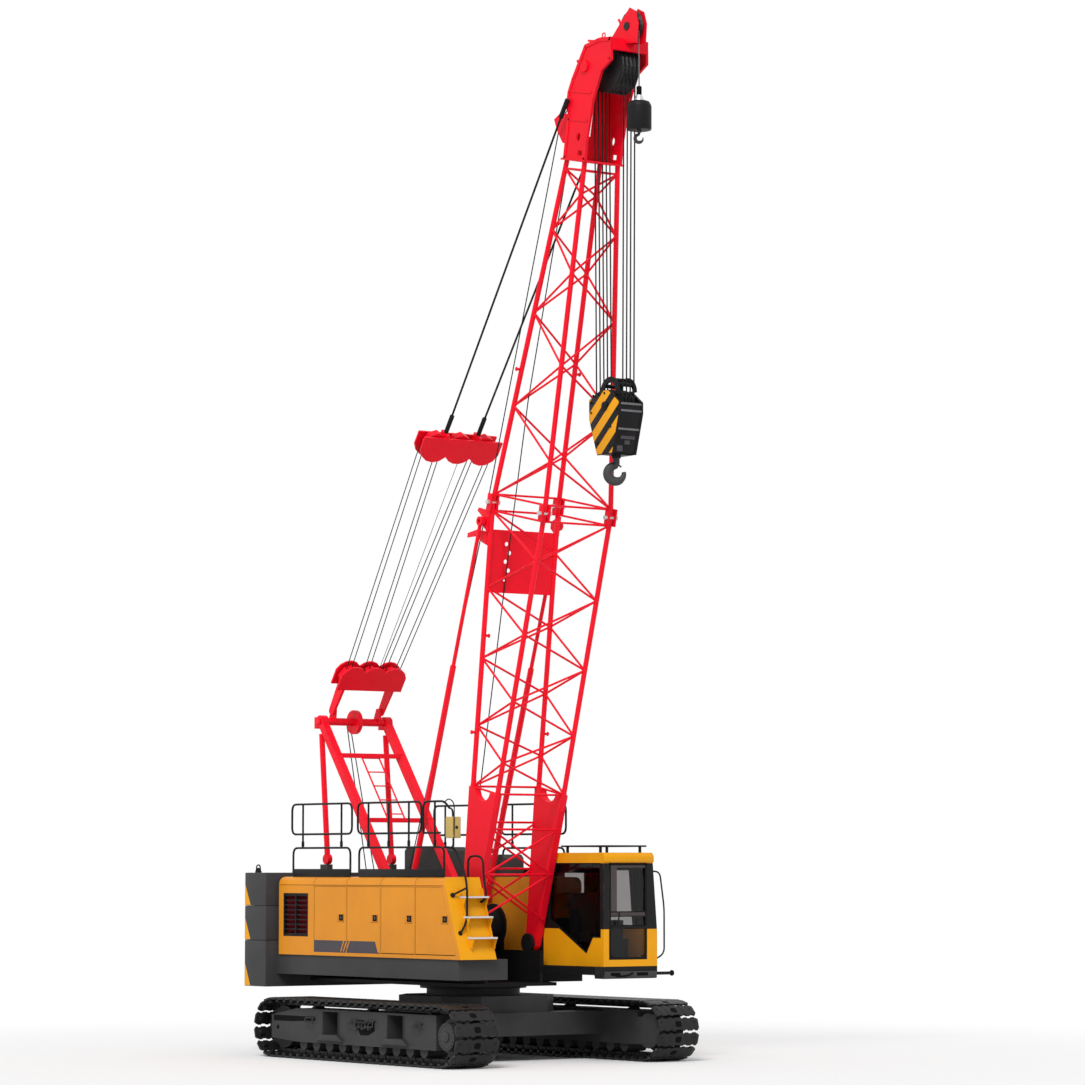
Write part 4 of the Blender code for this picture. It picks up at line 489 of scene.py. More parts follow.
def turnedPiece(profile, place, steps=32):
    # a bmesh of its own, so that it can be moved as one
    bm = bmesh.new()
    verts = [bm.verts.new((radius, y, 0.0)) for radius, y in profile]
    edges = [bm.edges.new(pair) for pair in zip(verts, verts[1:])]
    bmesh.ops.spin(bm, geom=verts + edges, axis=(0.0, 1.0, 0.0), cent=(0.0, 0.0, 0.0), angle=math.tau, steps=steps,
                   use_merge=True)
    bmesh.ops.remove_doubles(bm, verts=bm.verts, dist=0.00001)
    bmesh.ops.transform(bm, matrix=place, verts=bm.verts)
    return bm


def soften(bm, width, angle=0.6, segments=2):
    edges = [e for e in bm.edges if len(e.link_faces) == 2 and e.calc_face_angle(0.0) > angle]
    bmesh.ops.bevel(
        bm, geom=edges, offset=width, affect="EDGES", segments=segments, profile=0.5, material=-1, clamp_overlap=True)


def finishPiece(name, bm, finish, body=None, bevel=0.0, crease=40.0, replaced=None):
    bmesh.ops.translate(bm, vec=(slewX, 0.0, 0.0), verts=bm.verts)
    bmesh.ops.recalc_face_normals(bm, faces=bm.faces)
    if bevel:
        soften(bm, bevel)
    mesh = bpy.data.meshes.new(name)
    bm.to_mesh(mesh)
    bm.free()
    mesh.materials.append(paint(finish))
    mesh.shade_smooth()
    mesh.set_sharp_from_angle(angle=math.radians(crease))
    piece = bpy.data.objects.new(name, mesh)
    scene.collection.objects.link(piece)
    if body:
        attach(piece, body)
    if replaced:
        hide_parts(replaced)
    return piece


def addStrips(bm, outline, width, low, high, axis="Y", place=Matrix(), ease=0.0):
    # a band along the inside of an outline, one strip for each edge
    edges = [(Vector(a), Vector(b)) for a, b in zip(outline, outline[1:] + outline[:1])]
    turn = math.copysign(1.0, sum(a.x * b.y - b.x * a.y for a, b in edges))
    for a, b in edges:
        way = (b - a).normalized()
        inward = Vector((-way.y, way.x)) * turn
        addPrism(bm, [a, b, b + inward * width - way * ease, a + inward * width + way * ease], low, high, axis, place)


# tracks: shoes with toothed edges on a chain of links
tracks = {
    "length": 5.42, "height": 0.90, "outerWidth": 4.36, "shoeWidth": 0.75, "shoeWall": 0.036, "chainDepth": 0.085,
    "count": 58,
    "seam": 0.012,          # between neighbouring shoes
    "tooth": 0.014,         # how far the toothed edge goes in and out
    "teeth": (0.055, 0.115, 0.175, 0.255, 0.315),
    "edgeCut": 0.03, "linkY": 0.085, "linkHalf": 0.0175, "lugY": 0.27, "lugHalf": 0.035,
}


def trackPins(length, height, shoeWall, chainDepth, count, **rest):
    radius = height / 2 - shoeWall - chainDepth / 2
    half = (length - height) / 2
    total = 4 * half + math.tau * radius
    pins = []
    for i in range(count):
        along, sign = total * i / count, 1
        if along >= total / 2:  # the upper run is the lower one turned round
            along, sign = along - total / 2, -1
        turn = max(0.0, (along - 2 * half) / radius)
        x = min(along - half, half) + radius * math.sin(turn)
        pins.append(sign * Vector((x, 0.0, -radius * math.cos(turn))))
    return pins


def shoeOutline(pitch, shoeWidth, seam, tooth, teeth, edgeCut, **rest):
    # (along, across) of one shoe, teeth that fit the next shoe's slots
    half, reach = (pitch - seam) / 2, shoeWidth / 2
    edges = [-reach, *(-mark for mark in reversed(teeth)), *teeth, reach]
    front, rear = [], []
    for i, span in enumerate(zip(edges, edges[1:])):
        step = tooth / 2 if i % 2 else -tooth / 2
        front += [(half + step, y) for y in span]
        rear += [(step - half, y) for y in span]
    for row in (front, rear):
        row[0], row[-1] = (row[0][0], edgeCut - reach), (row[-1][0], reach - edgeCut)
    corner = half - edgeCut
    return front + [(corner, reach), (-corner, reach)] + rear[::-1] + [(-corner, -reach), (corner, -reach)]


def addTrack(side):
    pins = trackPins(**tracks)
    pitch = (pins[1] - pins[0]).length
    outline = shoeOutline(pitch, **tracks)
    reach, base = tracks["shoeWidth"] / 2, tracks["chainDepth"] / 2
    centre = Vector((0.0, side * (tracks["outerWidth"] / 2 - reach), tracks["height"] / 2))
    top, lap = base + tracks["shoeWall"] - 0.001, base + 0.006
    link = [(pitch * a, b) for a, b in ((-0.62, -0.020), (-0.50, -base), (0.50, -base), (0.62, -0.020), (0.42, lap),
                                        (-0.42, lap))]
    lug = [(pitch * a, b) for a, b in ((-0.22, lap), (-0.14, 0.008), (0.14, 0.008), (0.22, lap))]
    pocket = [(-0.030, -0.055), (-0.045, -0.03), (-0.045, 0.03), (-0.030, 0.055), (0.030, 0.055), (0.045, 0.03),
              (0.045, -0.03), (0.030, -0.055)]
    pinEnd = tracks["linkY"] + tracks["linkHalf"] + 0.012
    shoes, marks = bmesh.new(), bmesh.new()
    for a, b in zip(pins, pins[1:] + pins[:1]):
        ahead = (b - a).normalized()
        turn = Matrix((ahead, (0.0, 1.0, 0.0), (ahead.z, 0.0, -ahead.x))).transposed().to_4x4()
        place = Matrix.Translation(centre + (a + b) / 2) @ turn
        addPrism(shoes, outline, base + 0.004, top, "Z", place)
        for way in (-1, 1):
            addPlate(shoes, link, way * tracks["linkY"], tracks["linkHalf"], place)
            addPlate(shoes, lug, way * tracks["lugY"], tracks["lugHalf"], place)
            # painted shade: the small dark discs here and the dark pocket sheet below stand for the shade inside holes
            # in the shoes
            y = way * (reach - 0.065)
            addBar(marks, *(place @ Vector((0.03, y, z)) for z in (top - 0.002, top + 0.0008)), 0.012, 8)
        addPin(shoes, (-pitch / 2, 0.0), -pinEnd, pinEnd, 0.022, 8, place)
        addPrism(marks, pocket, top - 0.002, top + 0.0008, "Z", place)
        addBlock(shoes, (-0.010, -0.035, top - 0.003), (0.010, 0.035, top), place)
    word = "right" if side < 0 else "left"
    finishPiece(f"{word}TrackShoes", shoes, "trackSteel", "undercarriage", bevel=0.003, replaced=f"{word}_track")
    finishPiece(f"{word}TrackPocketShade", marks, "deepBlack", "undercarriage")


# track frames: gussets, steps, hub bolts and the adjuster's slot
frameTrim = {
    "faceY": 2.035, "beamX": (-0.78, 0.94), "beamHalf": 0.20, "beamTop": 0.715, "beamBottom": 0.375,
    "stepX": (-1.30, -0.14, 0.32, 1.54), "stepZ": 0.615, "stepHalf": 0.10, "stepDrop": 0.085,
    "hub": (2.26, 0.45), "boltRing": 0.168, "hubBolts": 16,
    "slot": ((-2.36, 0.63), (-1.20, 0.63), (-1.20, 0.575), (-1.85, 0.545), (-2.36, 0.545)),
    "recess": ((-0.16, 0.62), (0.38, 0.62), (0.40, 0.47), (0.22, 0.40), (0.02, 0.40), (-0.06, 0.50)),
}


def addFrameTrim(side):
    values = frameTrim
    face = side * values["faceY"]
    bm, dark = bmesh.new(), bmesh.new()
    half, low = values["beamHalf"], values["beamBottom"]
    for x in values["beamX"]:
        addPrism(bm, [(x - half - 0.02, low), (x + half + 0.02, low), (x + half + 0.15, low - 0.085),
                      (x - half - 0.15, low - 0.085)], face, face + side * 0.05)
        for edge in (x - half - 0.022, x + half + 0.006):
            addBlock(bm, (edge, face, low), (edge + 0.016, face + side * 0.012, values["beamTop"]))
    half, z, out = values["stepHalf"], values["stepZ"], face + side * 0.055
    low = z - values["stepDrop"]
    for x in values["stepX"]:
        path = [(x - half, face, z), (x - half, out, z), (x - half, out, low), (x + half, out, low),
                (x + half, out, z), (x + half, face, z)]
        addTube(bm, rounded(path, 0.02, 3), 0.009, 8)
        addBlock(bm, (x - half, face, z - 0.006), (x + half, out, z + 0.006))
    out = face + side * 0.02
    for spot in circle(*values["hub"], values["boltRing"], values["hubBolts"]):
        addPin(bm, spot, out, out + side * 0.010, 0.012, 6)
    addPin(bm, values["hub"], out, out + side * 0.016, 0.075, 24)
    for outline in (values["slot"], values["recess"]):
        addPrism(dark, outline, face - side * 0.002, face + side * 0.0015)
    addPin(dark, (-2.24, 0.45), face, face + side * 0.002, 0.035, 16)
    for i in range(5):
        x = -0.05 + i * 0.085
        addPin(bm, (x, 0.50 + 0.02 * (i % 2)), face, face + side * 0.05, 0.022, 10)
        hose = [(x, face + side * 0.045, 0.52), (x, face + side * 0.045, 0.58), (x + 0.07, face + side * 0.03, 0.60)]
        addTube(bm, rounded(hose, 0.03, 4), 0.010, 8)
    word = "right" if side < 0 else "left"
    finishPiece(f"{word}FrameTrim", bm, "frameGrey", "undercarriage", bevel=0.0025)
    finishPiece(f"{word}FrameShadows", dark, "deepBlack", "undercarriage")


for add in (addTrack, addFrameTrim):
    for side in (-1, 1):
        add(side)
print("tracks shod")

# counterweight: three cast slabs with eased edges, lifting lugs and corner marks
weights = {
    "frontX": -3.28, "rearX": -3.9385, "halfY": 1.614, "levels": (1.018, 1.73, 2.26, 2.772), "corner": 0.05,
    "lugX": -3.685, "lugY": 1.50, "markHeight": 0.37, "markWidth": 0.165,
}


def addCounterweight():
    front, rear, half, cut = (weights[key] for key in ("frontX", "rearX", "halfY", "corner"))
    outline = [(front, -half), (front, half), (rear + cut, half), (rear, half - cut), (rear, cut - half),
               (rear + cut, -half)]
    levels = weights["levels"]
    lugs, marks = bmesh.new(), bmesh.new()
    for word, low, high in zip(("lower", "middle", "upper"), levels, levels[1:]):
        bm = bmesh.new()
        addPrism(bm, outline, low + 0.002, high - 0.002 if word != "upper" else high, "Z")
        finishPiece(f"{word}Slab", bm, "deckGrey", "upper", bevel=0.011, replaced=f"counterweight_{word}")
        foot, top, wide = low + 0.012, low + min(weights["markHeight"], (high - low) * 0.66), weights["markWidth"]
        for side in (-1, 1):
            face = side * half
            addPrism(marks, [(rear + cut + 0.004, foot), (rear + cut + wide, foot), (rear + cut + 0.004, top)],
                     face - side * 0.001, face + side * 0.0012)
            a, b = Vector((rear + cut, face)), Vector((rear, face - side * cut))
            ease, out = (b - a).normalized() * 0.004, Vector((-1.0, side)).normalized() * 0.0012
            a, b = a + ease + out, b - ease + out
            marks.faces.new([marks.verts.new((*p, z)) for p, z in ((a, foot), (b, foot), (b, top), (a, top))])
            y = face - side * (cut + 0.004)
            addPrism(marks, [(y, foot), (y - side * wide * 1.6, foot), (y, top)], rear - 0.0012, rear + 0.001, "X")
    middle, top = weights["lugX"], levels[3]
    for y in (-weights["lugY"], weights["lugY"]):
        addPlate(lugs, [(middle - 0.075, top - 0.004), (middle + 0.075, top - 0.004), (middle + 0.04, top + 0.075),
                        (middle - 0.04, top + 0.075)], y, 0.018)
        bow = [(middle, *spot) for spot in circle(y, top + 0.075, 0.034, 20, 0.045 / 0.034)]
        addTube(lugs, bow, 0.011, 10, closed=True)
    finishPiece("weightLugs", lugs, "blackPaint", "upper", bevel=0.003)
    finishPiece("weightMarks", marks, "cabYellow", "upper")


addCounterweight()
print("counterweight made")

# houses: painted shade lines for the seams over the crown and the gaps round the doors, latches with painted shadow
# strips, stripe, and what shows behind the louvre
doorEdges = (-2.20, -1.29, -0.37, 0.54)
latches = {"z": 2.098, "inset": 0.163, "frame": (0.088, 0.062), "cup": (0.058, 0.046), "shift": 0.012, "lastX": 1.303}


def addSeamShade(name, side, places, endX):
    # painted shade of the panel seams: a dark strip over the rounded edge from the crease at each place, and one along
    # the crease
    outer, top, turn, crease = hood["outerY"], hood["topZ"], hood["round"], hood["creaseZ"]
    proud = 0.0007
    profile = [(outer + proud, crease)]
    for i in range(7):
        angle = math.radians(15 * i)
        profile.append((outer - turn + (turn + proud) * math.cos(angle), top - turn + (turn + proud) * math.sin(angle)))
    profile.append((hood["innerY"] + 0.01, top + proud))
    bm = bmesh.new()
    for x in places:
        rows = [[bm.verts.new((x + wide, side * y, z)) for wide in (-0.003, 0.003)] for y, z in profile]
        for a, b in zip(rows, rows[1:]):
            bm.faces.new((a[0], a[1], b[1], b[0]))
    line = oblong(hood["rearX"] + 0.004, crease - 0.003, endX, crease + 0.003)
    bm.faces.new([bm.verts.new((x, side * (outer + proud), z)) for x, z in line])
    finishPiece(name, bm, "deepBlack", "upper")


def addLatch(body, name, x, side):
    # a raised square frame, painted shadow strips under it and beside its front edge, a dark cup and the pull in it
    z, face = latches["z"], side * hood["outerY"]
    wide, tall = latches["frame"]
    frame, cup, pull = bmesh.new(), bmesh.new(), bmesh.new()
    wall = 0.012
    for x0, z0, x1, z1 in (
            (-wide, -tall, wide, wall - tall), (-wide, tall - wall, wide, tall),
            (-wide, wall - tall, wall - wide, tall - wall), (wide - wall, wall - tall, wide, tall - wall)):
        addBlock(frame, (x + x0, face, z + z0), (x + x1, face + side * 0.005, z + z1))
    finishPiece(f"{name}Frame", frame, "houseOrange", body, bevel=0.002)
    # painted shadow: dark strips along the frame's foot and its front edge, as if the raised frame cast them
    for sheet in (oblong(x - wide - 0.005, z - tall - 0.005, x + wide + 0.005, z - tall + 0.002),
                  oblong(x + wide - 0.002, z - tall, x + wide + 0.005, z + tall)):
        addPrism(cup, sheet, face - side * 0.001, face + side * 0.0009)
    wide, tall = latches["cup"]
    x += latches["shift"]
    addPlate(cup, oblong(x - wide, z - tall, x + wide, z + tall), face, 0.001)
    finishPiece(f"{name}CupAndShadow", cup, "deepBlack", body)
    addPrism(pull, [(x - 0.004, z - 0.030), (x + 0.030, z - 0.022), (x + 0.030, z + 0.022), (x - 0.004, z + 0.030)],
             face + side * 0.001, face + side * 0.012)
    addPin(pull, (x - 0.012, z), face, face + side * 0.014, 0.010)
    finishPiece(f"{name}Pull", pull, "forgedGrey", body, bevel=0.002)


def addDoorGapShade(name, side, flat):
    # painted shade of the gap round a door: a dark strip down its rear edge and along its foot
    corners = [nodes[name].matrix_world @ Vector(corner) for corner in nodes[name].bound_box]
    low, high = (pick(corner.x for corner in corners) - slewX for pick in (min, max))
    bottom, top = (pick(corner.z for corner in corners) for pick in (min, max))
    face, out = side * (hood["outerY"] + 0.0002), side * (hood["outerY"] + 0.0010)
    bm = bmesh.new()
    addBlock(bm, (low, face, bottom), (low + 0.007, out, top))
    addBlock(bm, (low, face, bottom), (high if flat else high - 0.02, out, bottom + 0.006))
    finishPiece(f"{name}_gapShade", bm, "deepBlack", name)


def addHouseTrim():
    addSeamShade("rightHouseSeams", -1, doorEdges, hood["crownX"])
    addSeamShade("leftHouseSeams", 1, (-2.20, -1.10, 0.0), 0.80)
    doors = []
    for word, side, edges in (("right", -1, (*doorEdges[1:], latches["lastX"] + latches["inset"])),
                              ("left", 1, (-1.10, 0.0))):
        for i, x in enumerate(edges):
            addLatch(f"{word}_door_{i + 1}", f"{word}Latch{i + 1}", x - latches["inset"], side)
            doors.append((f"{word}_door_{i + 1}", side, i < 3))
    for door in doors:
        addDoorGapShade(*door)


addHouseTrim()

stripe = {"lowZ": 1.572, "highZ": 1.752, "startX": -2.19, "blockEnd": -1.374, "lean": 0.095, "gap": 0.027,
          "line": 0.048, "lines": 2, "endTop": -0.512, "endLow": -0.430}


def cutAt(outline, x, way):
    # the part of an outline on one side of an upright line
    kept = []
    for a, b in zip(outline, outline[1:] + outline[:1]):
        if (a[0] - x) * way >= 0:
            kept.append(a)
        if (a[0] - x) * (b[0] - x) < 0:
            kept.append((x, a[1] + (b[1] - a[1]) * (x - a[0]) / (b[0] - a[0])))
    return kept


def addStripe():
    low, high, lean, start = stripe["lowZ"], stripe["highZ"], stripe["lean"], stripe["blockEnd"]
    shapes = [[(stripe["startX"], low), (start - lean, low), (start, high), (stripe["startX"], high)]]
    for i in range(stripe["lines"]):
        start += stripe["gap"]
        end = start + stripe["line"]
        shapes.append([(start - lean, low), (end - lean, low), (end, high), (start, high)])
        start = end
    start += stripe["gap"]
    shapes.append([(start - lean, low), (stripe["endLow"], low), (stripe["endTop"], high), (start, high)])
    for name, door, way, edge in (
            ("rearStripe", "right_door_1", -1, -0.002), ("frontStripe", "right_door_2", 1, 0.008)):
        bm = bmesh.new()
        for shape in shapes:
            shape = cutAt(shape, doorEdges[1] + edge, way)
            if len(shape) > 2:
                addPrism(bm, shape, -hood["outerY"] - 0.0012, -hood["outerY"] + 0.001)
        finishPiece(name, bm, "stripeGrey", door)


def addRadiator():
    # the finned core behind the louvre
    bm = bmesh.new()
    x0, x1, z0, z1 = -3.05, -2.37, 1.81, 2.45
    addBlock(bm, (x0, -1.36, z0), (x1, -1.33, z1))
    for i in range(26):
        x = x0 + 0.014 + i * (x1 - x0 - 0.028) / 25
        addBlock(bm, (x - 0.004, -1.378, z0 + 0.01), (x + 0.004, -1.359, z1 - 0.01))
    finishPiece("radiatorCore", bm, "coreRed", "upper", bevel=0.0015)


addStripe()
addRadiator()

# handrails: a bent lower hoop, a closed upper loop and posts on a toe board
rails = {
    "y": 1.33, "baseZ": 2.71, "tube": 0.0165, "bend": 0.11, "lowerZ": (2.77, 3.15), "upperZ": (3.36, 3.82),
    "rear": {"span": (-2.94, -1.34), "posts": (-2.67, -1.59)},
    "front": {"span": (-1.10, 1.15), "posts": (-0.85, -0.305, 0.23, 0.91), "split": 0.56},
    "leftFront": {"span": (-1.10, 0.50), "posts": (-0.85, 0.23)},
}


def addRail(side, name, values, replaced):
    y, tube, bend = side * rails["y"], rails["tube"], rails["bend"]
    bm, board = bmesh.new(), bmesh.new()
    start, end = values["span"]
    low, high = rails["lowerZ"]
    addTube(bm, rounded([(start, y, low), (start, y, high), (end, y, high), (end, y, low)], bend), tube)
    bottom, top = rails["upperZ"]
    stop = values.get("split", end + 0.04)
    loop = [(start - 0.04, y, bottom), (start - 0.04, y, top), (stop, y, top), (stop, y, bottom)]
    addTube(bm, rounded(loop, bend, closed=True), tube, closed=True)
    if "split" in values:
        stop += 0.05
        hoop = [(stop, y, bottom), (stop, y, top), (end, y, top), (end + 0.13, y, top - 0.10)]
        addTube(bm, rounded(hoop, bend), tube)
        addTube(bm, [(stop, y, bottom), (end - 0.1, y, bottom)], tube)
    for x in values["posts"]:
        addBar(bm, (x, y, high), (x, y, top), tube * 0.92)
        addBar(bm, (x, y, high + 0.02), (x, y, high + 0.10), tube * 1.35)
    wall, base = 0.012, rails["baseZ"] + 0.0005
    addBlock(board, (start, y - wall, base), (end, y + wall, rails["baseZ"] + 0.12))
    for x in (start + 0.10, (start + end) / 2, end - 0.10):
        foot = y - side * wall
        addBlock(board, (x - 0.03, foot, base), (x + 0.03, foot - side * 0.05, base + 0.0075))
    finishPiece(f"{name}Rail", bm, "blackPaint", "upper", replaced=replaced)
    finishPiece(f"{name}ToeBoard", board, "blackPaint", "upper", bevel=0.003)


addRail(-1, "rightRear", rails["rear"], "right_handrail_rear")
addRail(-1, "rightFront", rails["front"], "right_handrail_front")
addRail(1, "leftRear", rails["rear"], "left_handrail_rear")
addRail(1, "leftFront", rails["leftFront"], "left_handrail_front")
print("handrails bent")

# front of the right house: tan box on its post, grab bars; each bar is its path, bend, radius and sides
frontTrim = {
    "boxAt": (1.30, -1.415, 3.28), "boxSize": (0.16, 0.17, 0.31),
    "bars": (
        (((1.38, -1.33, 3.28), (1.38, -1.33, 3.18), (1.35, -1.33, 3.15)), 0.05, 0.012, 8),
        (((1.15, -1.33, 3.80), (1.30, -1.36, 3.86), (1.48, -1.38, 3.80), (1.475, -1.38, 3.40), (1.44, -1.36, 3.14)),
         0.10, 0.009, 8),
        (((1.28, -1.33, 3.72), (1.36, -1.33, 3.70), (1.38, -1.33, 3.56)), 0.05, 0.014, 8),
        (((1.15, -1.33, 3.15), (1.31, -1.26, 3.14), (1.50, -1.20, 2.76), (1.55, -1.20, 2.56), (1.55, -1.20, 2.12),
          (1.60, -1.28, 2.00), (1.60, -1.33, 1.93), (1.565, -1.34, 1.90)), 0.12, 0.0165, 10),
        (((1.55, -1.20, 2.56), (1.46, -1.28, 2.50), (1.372, -1.34, 2.45)), 0.03, 0.01485, 10),
        (((1.09, -0.86, 2.70), (1.09, -0.86, 3.00), (1.27, -0.86, 3.03), (1.47, -0.86, 2.99), (1.485, -0.86, 2.70),
          (1.55, -0.86, 2.50), (1.52, -0.86, 2.38), (1.40, -0.86, 2.345)), 0.10, 0.0165, 10),
    ),
    "feet": ((1.575, -1.34, 1.90), (1.385, -1.34, 2.45)),
}


def addFrontTrim():
    low = Vector(frontTrim["boxAt"])
    dx, dy, dz = frontTrim["boxSize"]
    bm = bmesh.new()
    addBlock(bm, low, low + Vector((dx, dy, dz)))
    soften(bm, 0.012)
    addBlock(bm, low + Vector((dx - 0.002, 0.015, 0.015)), low + Vector((dx + 0.006, dy - 0.015, dz - 0.015)))
    finishPiece("controlBox", bm, "boxTan", "upper", bevel=0.002)
    bm = bmesh.new()
    knob = low + Vector((dx, dy / 2, dz / 2))
    addBar(bm, knob + Vector((0.004, 0.0, 0.0)), knob + Vector((0.016, 0.0, 0.0)), 0.022, 16)
    for path, bend, radius, sides in frontTrim["bars"]:
        addTube(bm, rounded(path, bend), radius, sides)
    for foot in frontTrim["feet"]:
        addBar(bm, Vector(foot) - Vector((0.022, 0.0, 0.008)), Vector(foot) + Vector((0.012, 0.0, 0.005)), 0.036, 16)
    finishPiece("frontGrabBars", bm, "blackPaint", "upper")


addFrontTrim()

# cab: seals round the glass, divider bars, wiper, grab loop, step bar and visor edge
cabTrim = {"bars": ((2.195, 0.016), (2.135, 0.012), (1.955, 0.055)), "clearY": 0.925, "clearZ": (2.21, 2.852)}


def addCabTrim():
    bm, interiorShade, bars, boxes, slotShadeAndGrip, visor = (bmesh.new() for i in range(6))
    front, right, left = cab["frontX"], cab["rightY"], cab["leftY"] - cab["lean"]
    y0, y1 = right + 0.10, left - 0.10
    z0, z1 = cab["floorZ"] + 0.10, cab["roofZ"] - 0.15
    outline = [(y0, z0 + 0.10), (y0 + 0.03, z0 + 0.03), (y0 + 0.10, z0), (y1 - 0.10, z0), (y1 - 0.03, z0 + 0.03),
               (y1, z0 + 0.10), (y1, z1), (y0, z1)]
    addStrips(bm, outline, 0.035, front - 0.006, front + 0.003, "X")
    for y, turn in ((y0, 1), (y1, -1)):
        corner = ((0.0, 0.0), (0.16, 0.0), (0.07, 0.03), (0.03, 0.07), (0.0, 0.16))
        addPrism(bm, [(y + turn * a, z0 + b) for a, b in corner], front - 0.006, front + 0.002, "X")
    for z, tall in cabTrim["bars"]:
        addBlock(bm, (front - 0.022, y0 + 0.02, z), (front + 0.002, y1 - 0.02, z + tall))
    # painted shade: dark sheets just inside the windscreen stand for the shaded cab interior seen through the glass,
    # all but a clear patch
    low, high = cabTrim["clearZ"]
    for a, b in (((y0 + 0.035, low), (cabTrim["clearY"], high)), ((y0 + 0.035, high), (y1 - 0.035, z1 - 0.035)),
                 ((y0 + 0.035, 2.13), (y1 - 0.035, low))):
        addBlock(interiorShade, (front - 0.018, *a), (front - 0.001, *b))
    finishPiece("screenBand", interiorShade, "smokedBand", "upper")
    low, rear = cab["floorZ"], cab["rearX"] + 0.15
    window = [(rear, low + 0.675), (front - 0.42, low + 0.185), (front - 0.26, low + 0.42), (front - 0.07, low + 0.42),
              (front - 0.07, z1), (rear, z1)]
    addStrips(bm, window, 0.018, right - 0.003, right + 0.010)
    finishPiece("windowSeals", bm, "rubber", "upper", bevel=0.002)
    arm = [(front + 0.02, y0 + 0.14, 1.985), (front + 0.03, y0 + 0.16, 2.12), (front + 0.03, y0 + 0.17, 2.21)]
    addTube(bars, rounded(arm, 0.05), 0.012, 8)
    addBlock(bars, (front + 0.012, y0 + 0.04, 1.965), (front + 0.022, y1 - 0.02, 1.99))
    addBar(bars, (front - 0.004, y0 + 0.14, 1.98), (front + 0.03, y0 + 0.14, 1.98), 0.022)
    y = cab["leftY"] - cab["lean"] * 0.9
    loop = [(2.30, y - 0.01, 2.80), (2.30, y + 0.17, 2.79), (2.30, y + 0.25, 2.26), (2.30, y + 0.25, 1.58),
            (2.30, cab["leftY"] - 0.005, 1.50)]
    addTube(bars, rounded(loop, 0.10), 0.0125)
    addTube(bars, [(2.28, 1.60, 1.295), (2.28, 1.99, 1.295)], 0.024)
    addPin(bars, (2.28, 1.295), 1.985, 2.01, 0.042, 16)
    finishPiece("cabBars", bars, "blackPaint", "upper")
    # a rounded visor over the windscreen and the box step under the cab
    x0, x1 = front - 0.03, front + 0.035
    profile = [(x0, 2.925), (x1 - 0.012, 2.925), (x1, 2.945), (x1, 3.02), (x1 - 0.03, 3.062), (x0, 3.074)]
    addPrism(visor, profile, right - 0.004, left + 0.008)
    finishPiece("cabVisor", visor, "cabYellow", "upper", bevel=0.010)
    addPrism(boxes, [(2.10, 1.282), (2.365, 1.335), (2.372, 1.235), (2.34, 1.226), (2.12, 1.226)],
             right + 0.01, cab["leftY"] - 0.02)
    finishPiece("cabStepBox", boxes, "deckGrey", "upper", bevel=0.006)
    # painted shade: dark plates on the step box's face stand for the shade inside its hand slots; the grip below is a
    # real black bar
    for y, wide in ((0.80, 0.17), (1.28, 0.20)):
        addBlock(slotShadeAndGrip, (2.366, y, 1.27), (2.374, y + wide, 1.315))
    grip = [(2.375, 0.82, 1.31), (2.385, 0.90, 1.26), (2.385, 1.10, 1.27), (2.375, 1.20, 1.31)]
    addTube(slotShadeAndGrip, rounded(grip, 0.05), 0.012, 8)
    finishPiece("stepBoxSlots", slotShadeAndGrip, "deepBlack", "upper")


addCabTrim()
print("cab trimmed")

# ropes: their radii, the sheaves' grooves, where the pairs of the stay run, and the drums as (name, x, z, radius)
ropes = {
    "main": 0.0105, "aux": 0.009, "hoist": 0.0085, "stay": 0.0075, "thin": 0.0045,
    "pitch": 0.067, "grooveHead": 0.330, "grooveBlock": 0.288,
    "pairLow": (-0.435, -0.10, 0.20, 0.46), "pairHigh": (-0.64, -0.32, 0.32, 0.64), "pairHalf": 0.044,
    "drums": (("main", -0.05, 1.98, 0.22), ("aux", -1.25, 1.98, 0.22), ("boom", -2.35, 1.86, 0.18)),
    "drumHalf": 0.388, "turns": 32,
    "blockDrop": 5.17, "ballOut": 0.18, "ballDrop": 1.33,  # block and ball weight, from the sheaves they hang from
}
blockZ = headCentre.z - ropes["blockDrop"]
ballX, ballZ = auxCentre.x + ropes["ballOut"], auxCentre.z - ropes["ballDrop"]


def addMainFalls():
    bm = bmesh.new()
    low, radius, x = blockZ + 0.06, ropes["main"], headCentre.x
    for count, way, reach, z in ((5, -1, ropes["grooveHead"], headCentre.z), (4, 1, ropes["grooveBlock"], low)):
        for i in range(count):
            y = (i - (count - 1) / 2) * ropes["pitch"]
            ends = [(x + way * ropes["grooveHead"], y, headCentre.z), (x + way * ropes["grooveBlock"], y, low)]
            addTube(bm, ends, radius, 8)
            turns = [math.pi * k / 14 for k in range(15)]
            addTube(bm, [(x + reach * math.cos(a), y, z - way * reach * math.sin(a)) for a in turns], radius, 8)
    piece = finishPiece("mainFalls", bm, "wireRope")
    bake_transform(piece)


def addAuxFall():
    bm = bmesh.new()
    addTube(bm, [(ballX, 0.0, auxCentre.z + 0.10), (ballX, 0.0, ballZ + 0.40)], ropes["aux"], 8)
    piece = finishPiece("auxFall", bm, "greyRope")
    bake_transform(piece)


def addStayFalls():
    bm = bmesh.new()
    falls = [(low + half, high + half, ropes["stay"]) for low, high in zip(ropes["pairLow"], ropes["pairHigh"])
             for half in (-ropes["pairHalf"], ropes["pairHalf"])]
    for low, high, radius in falls + [(0.12, 0.117, ropes["thin"])]:
        addTube(bm, [stayFrame @ Vector((0.64, low, 0.0)), stayFrame @ Vector((4.78, high, 0.0))], radius, 8)
    piece = finishPiece("boomHoistFalls", bm, "wireRope")
    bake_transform(piece)


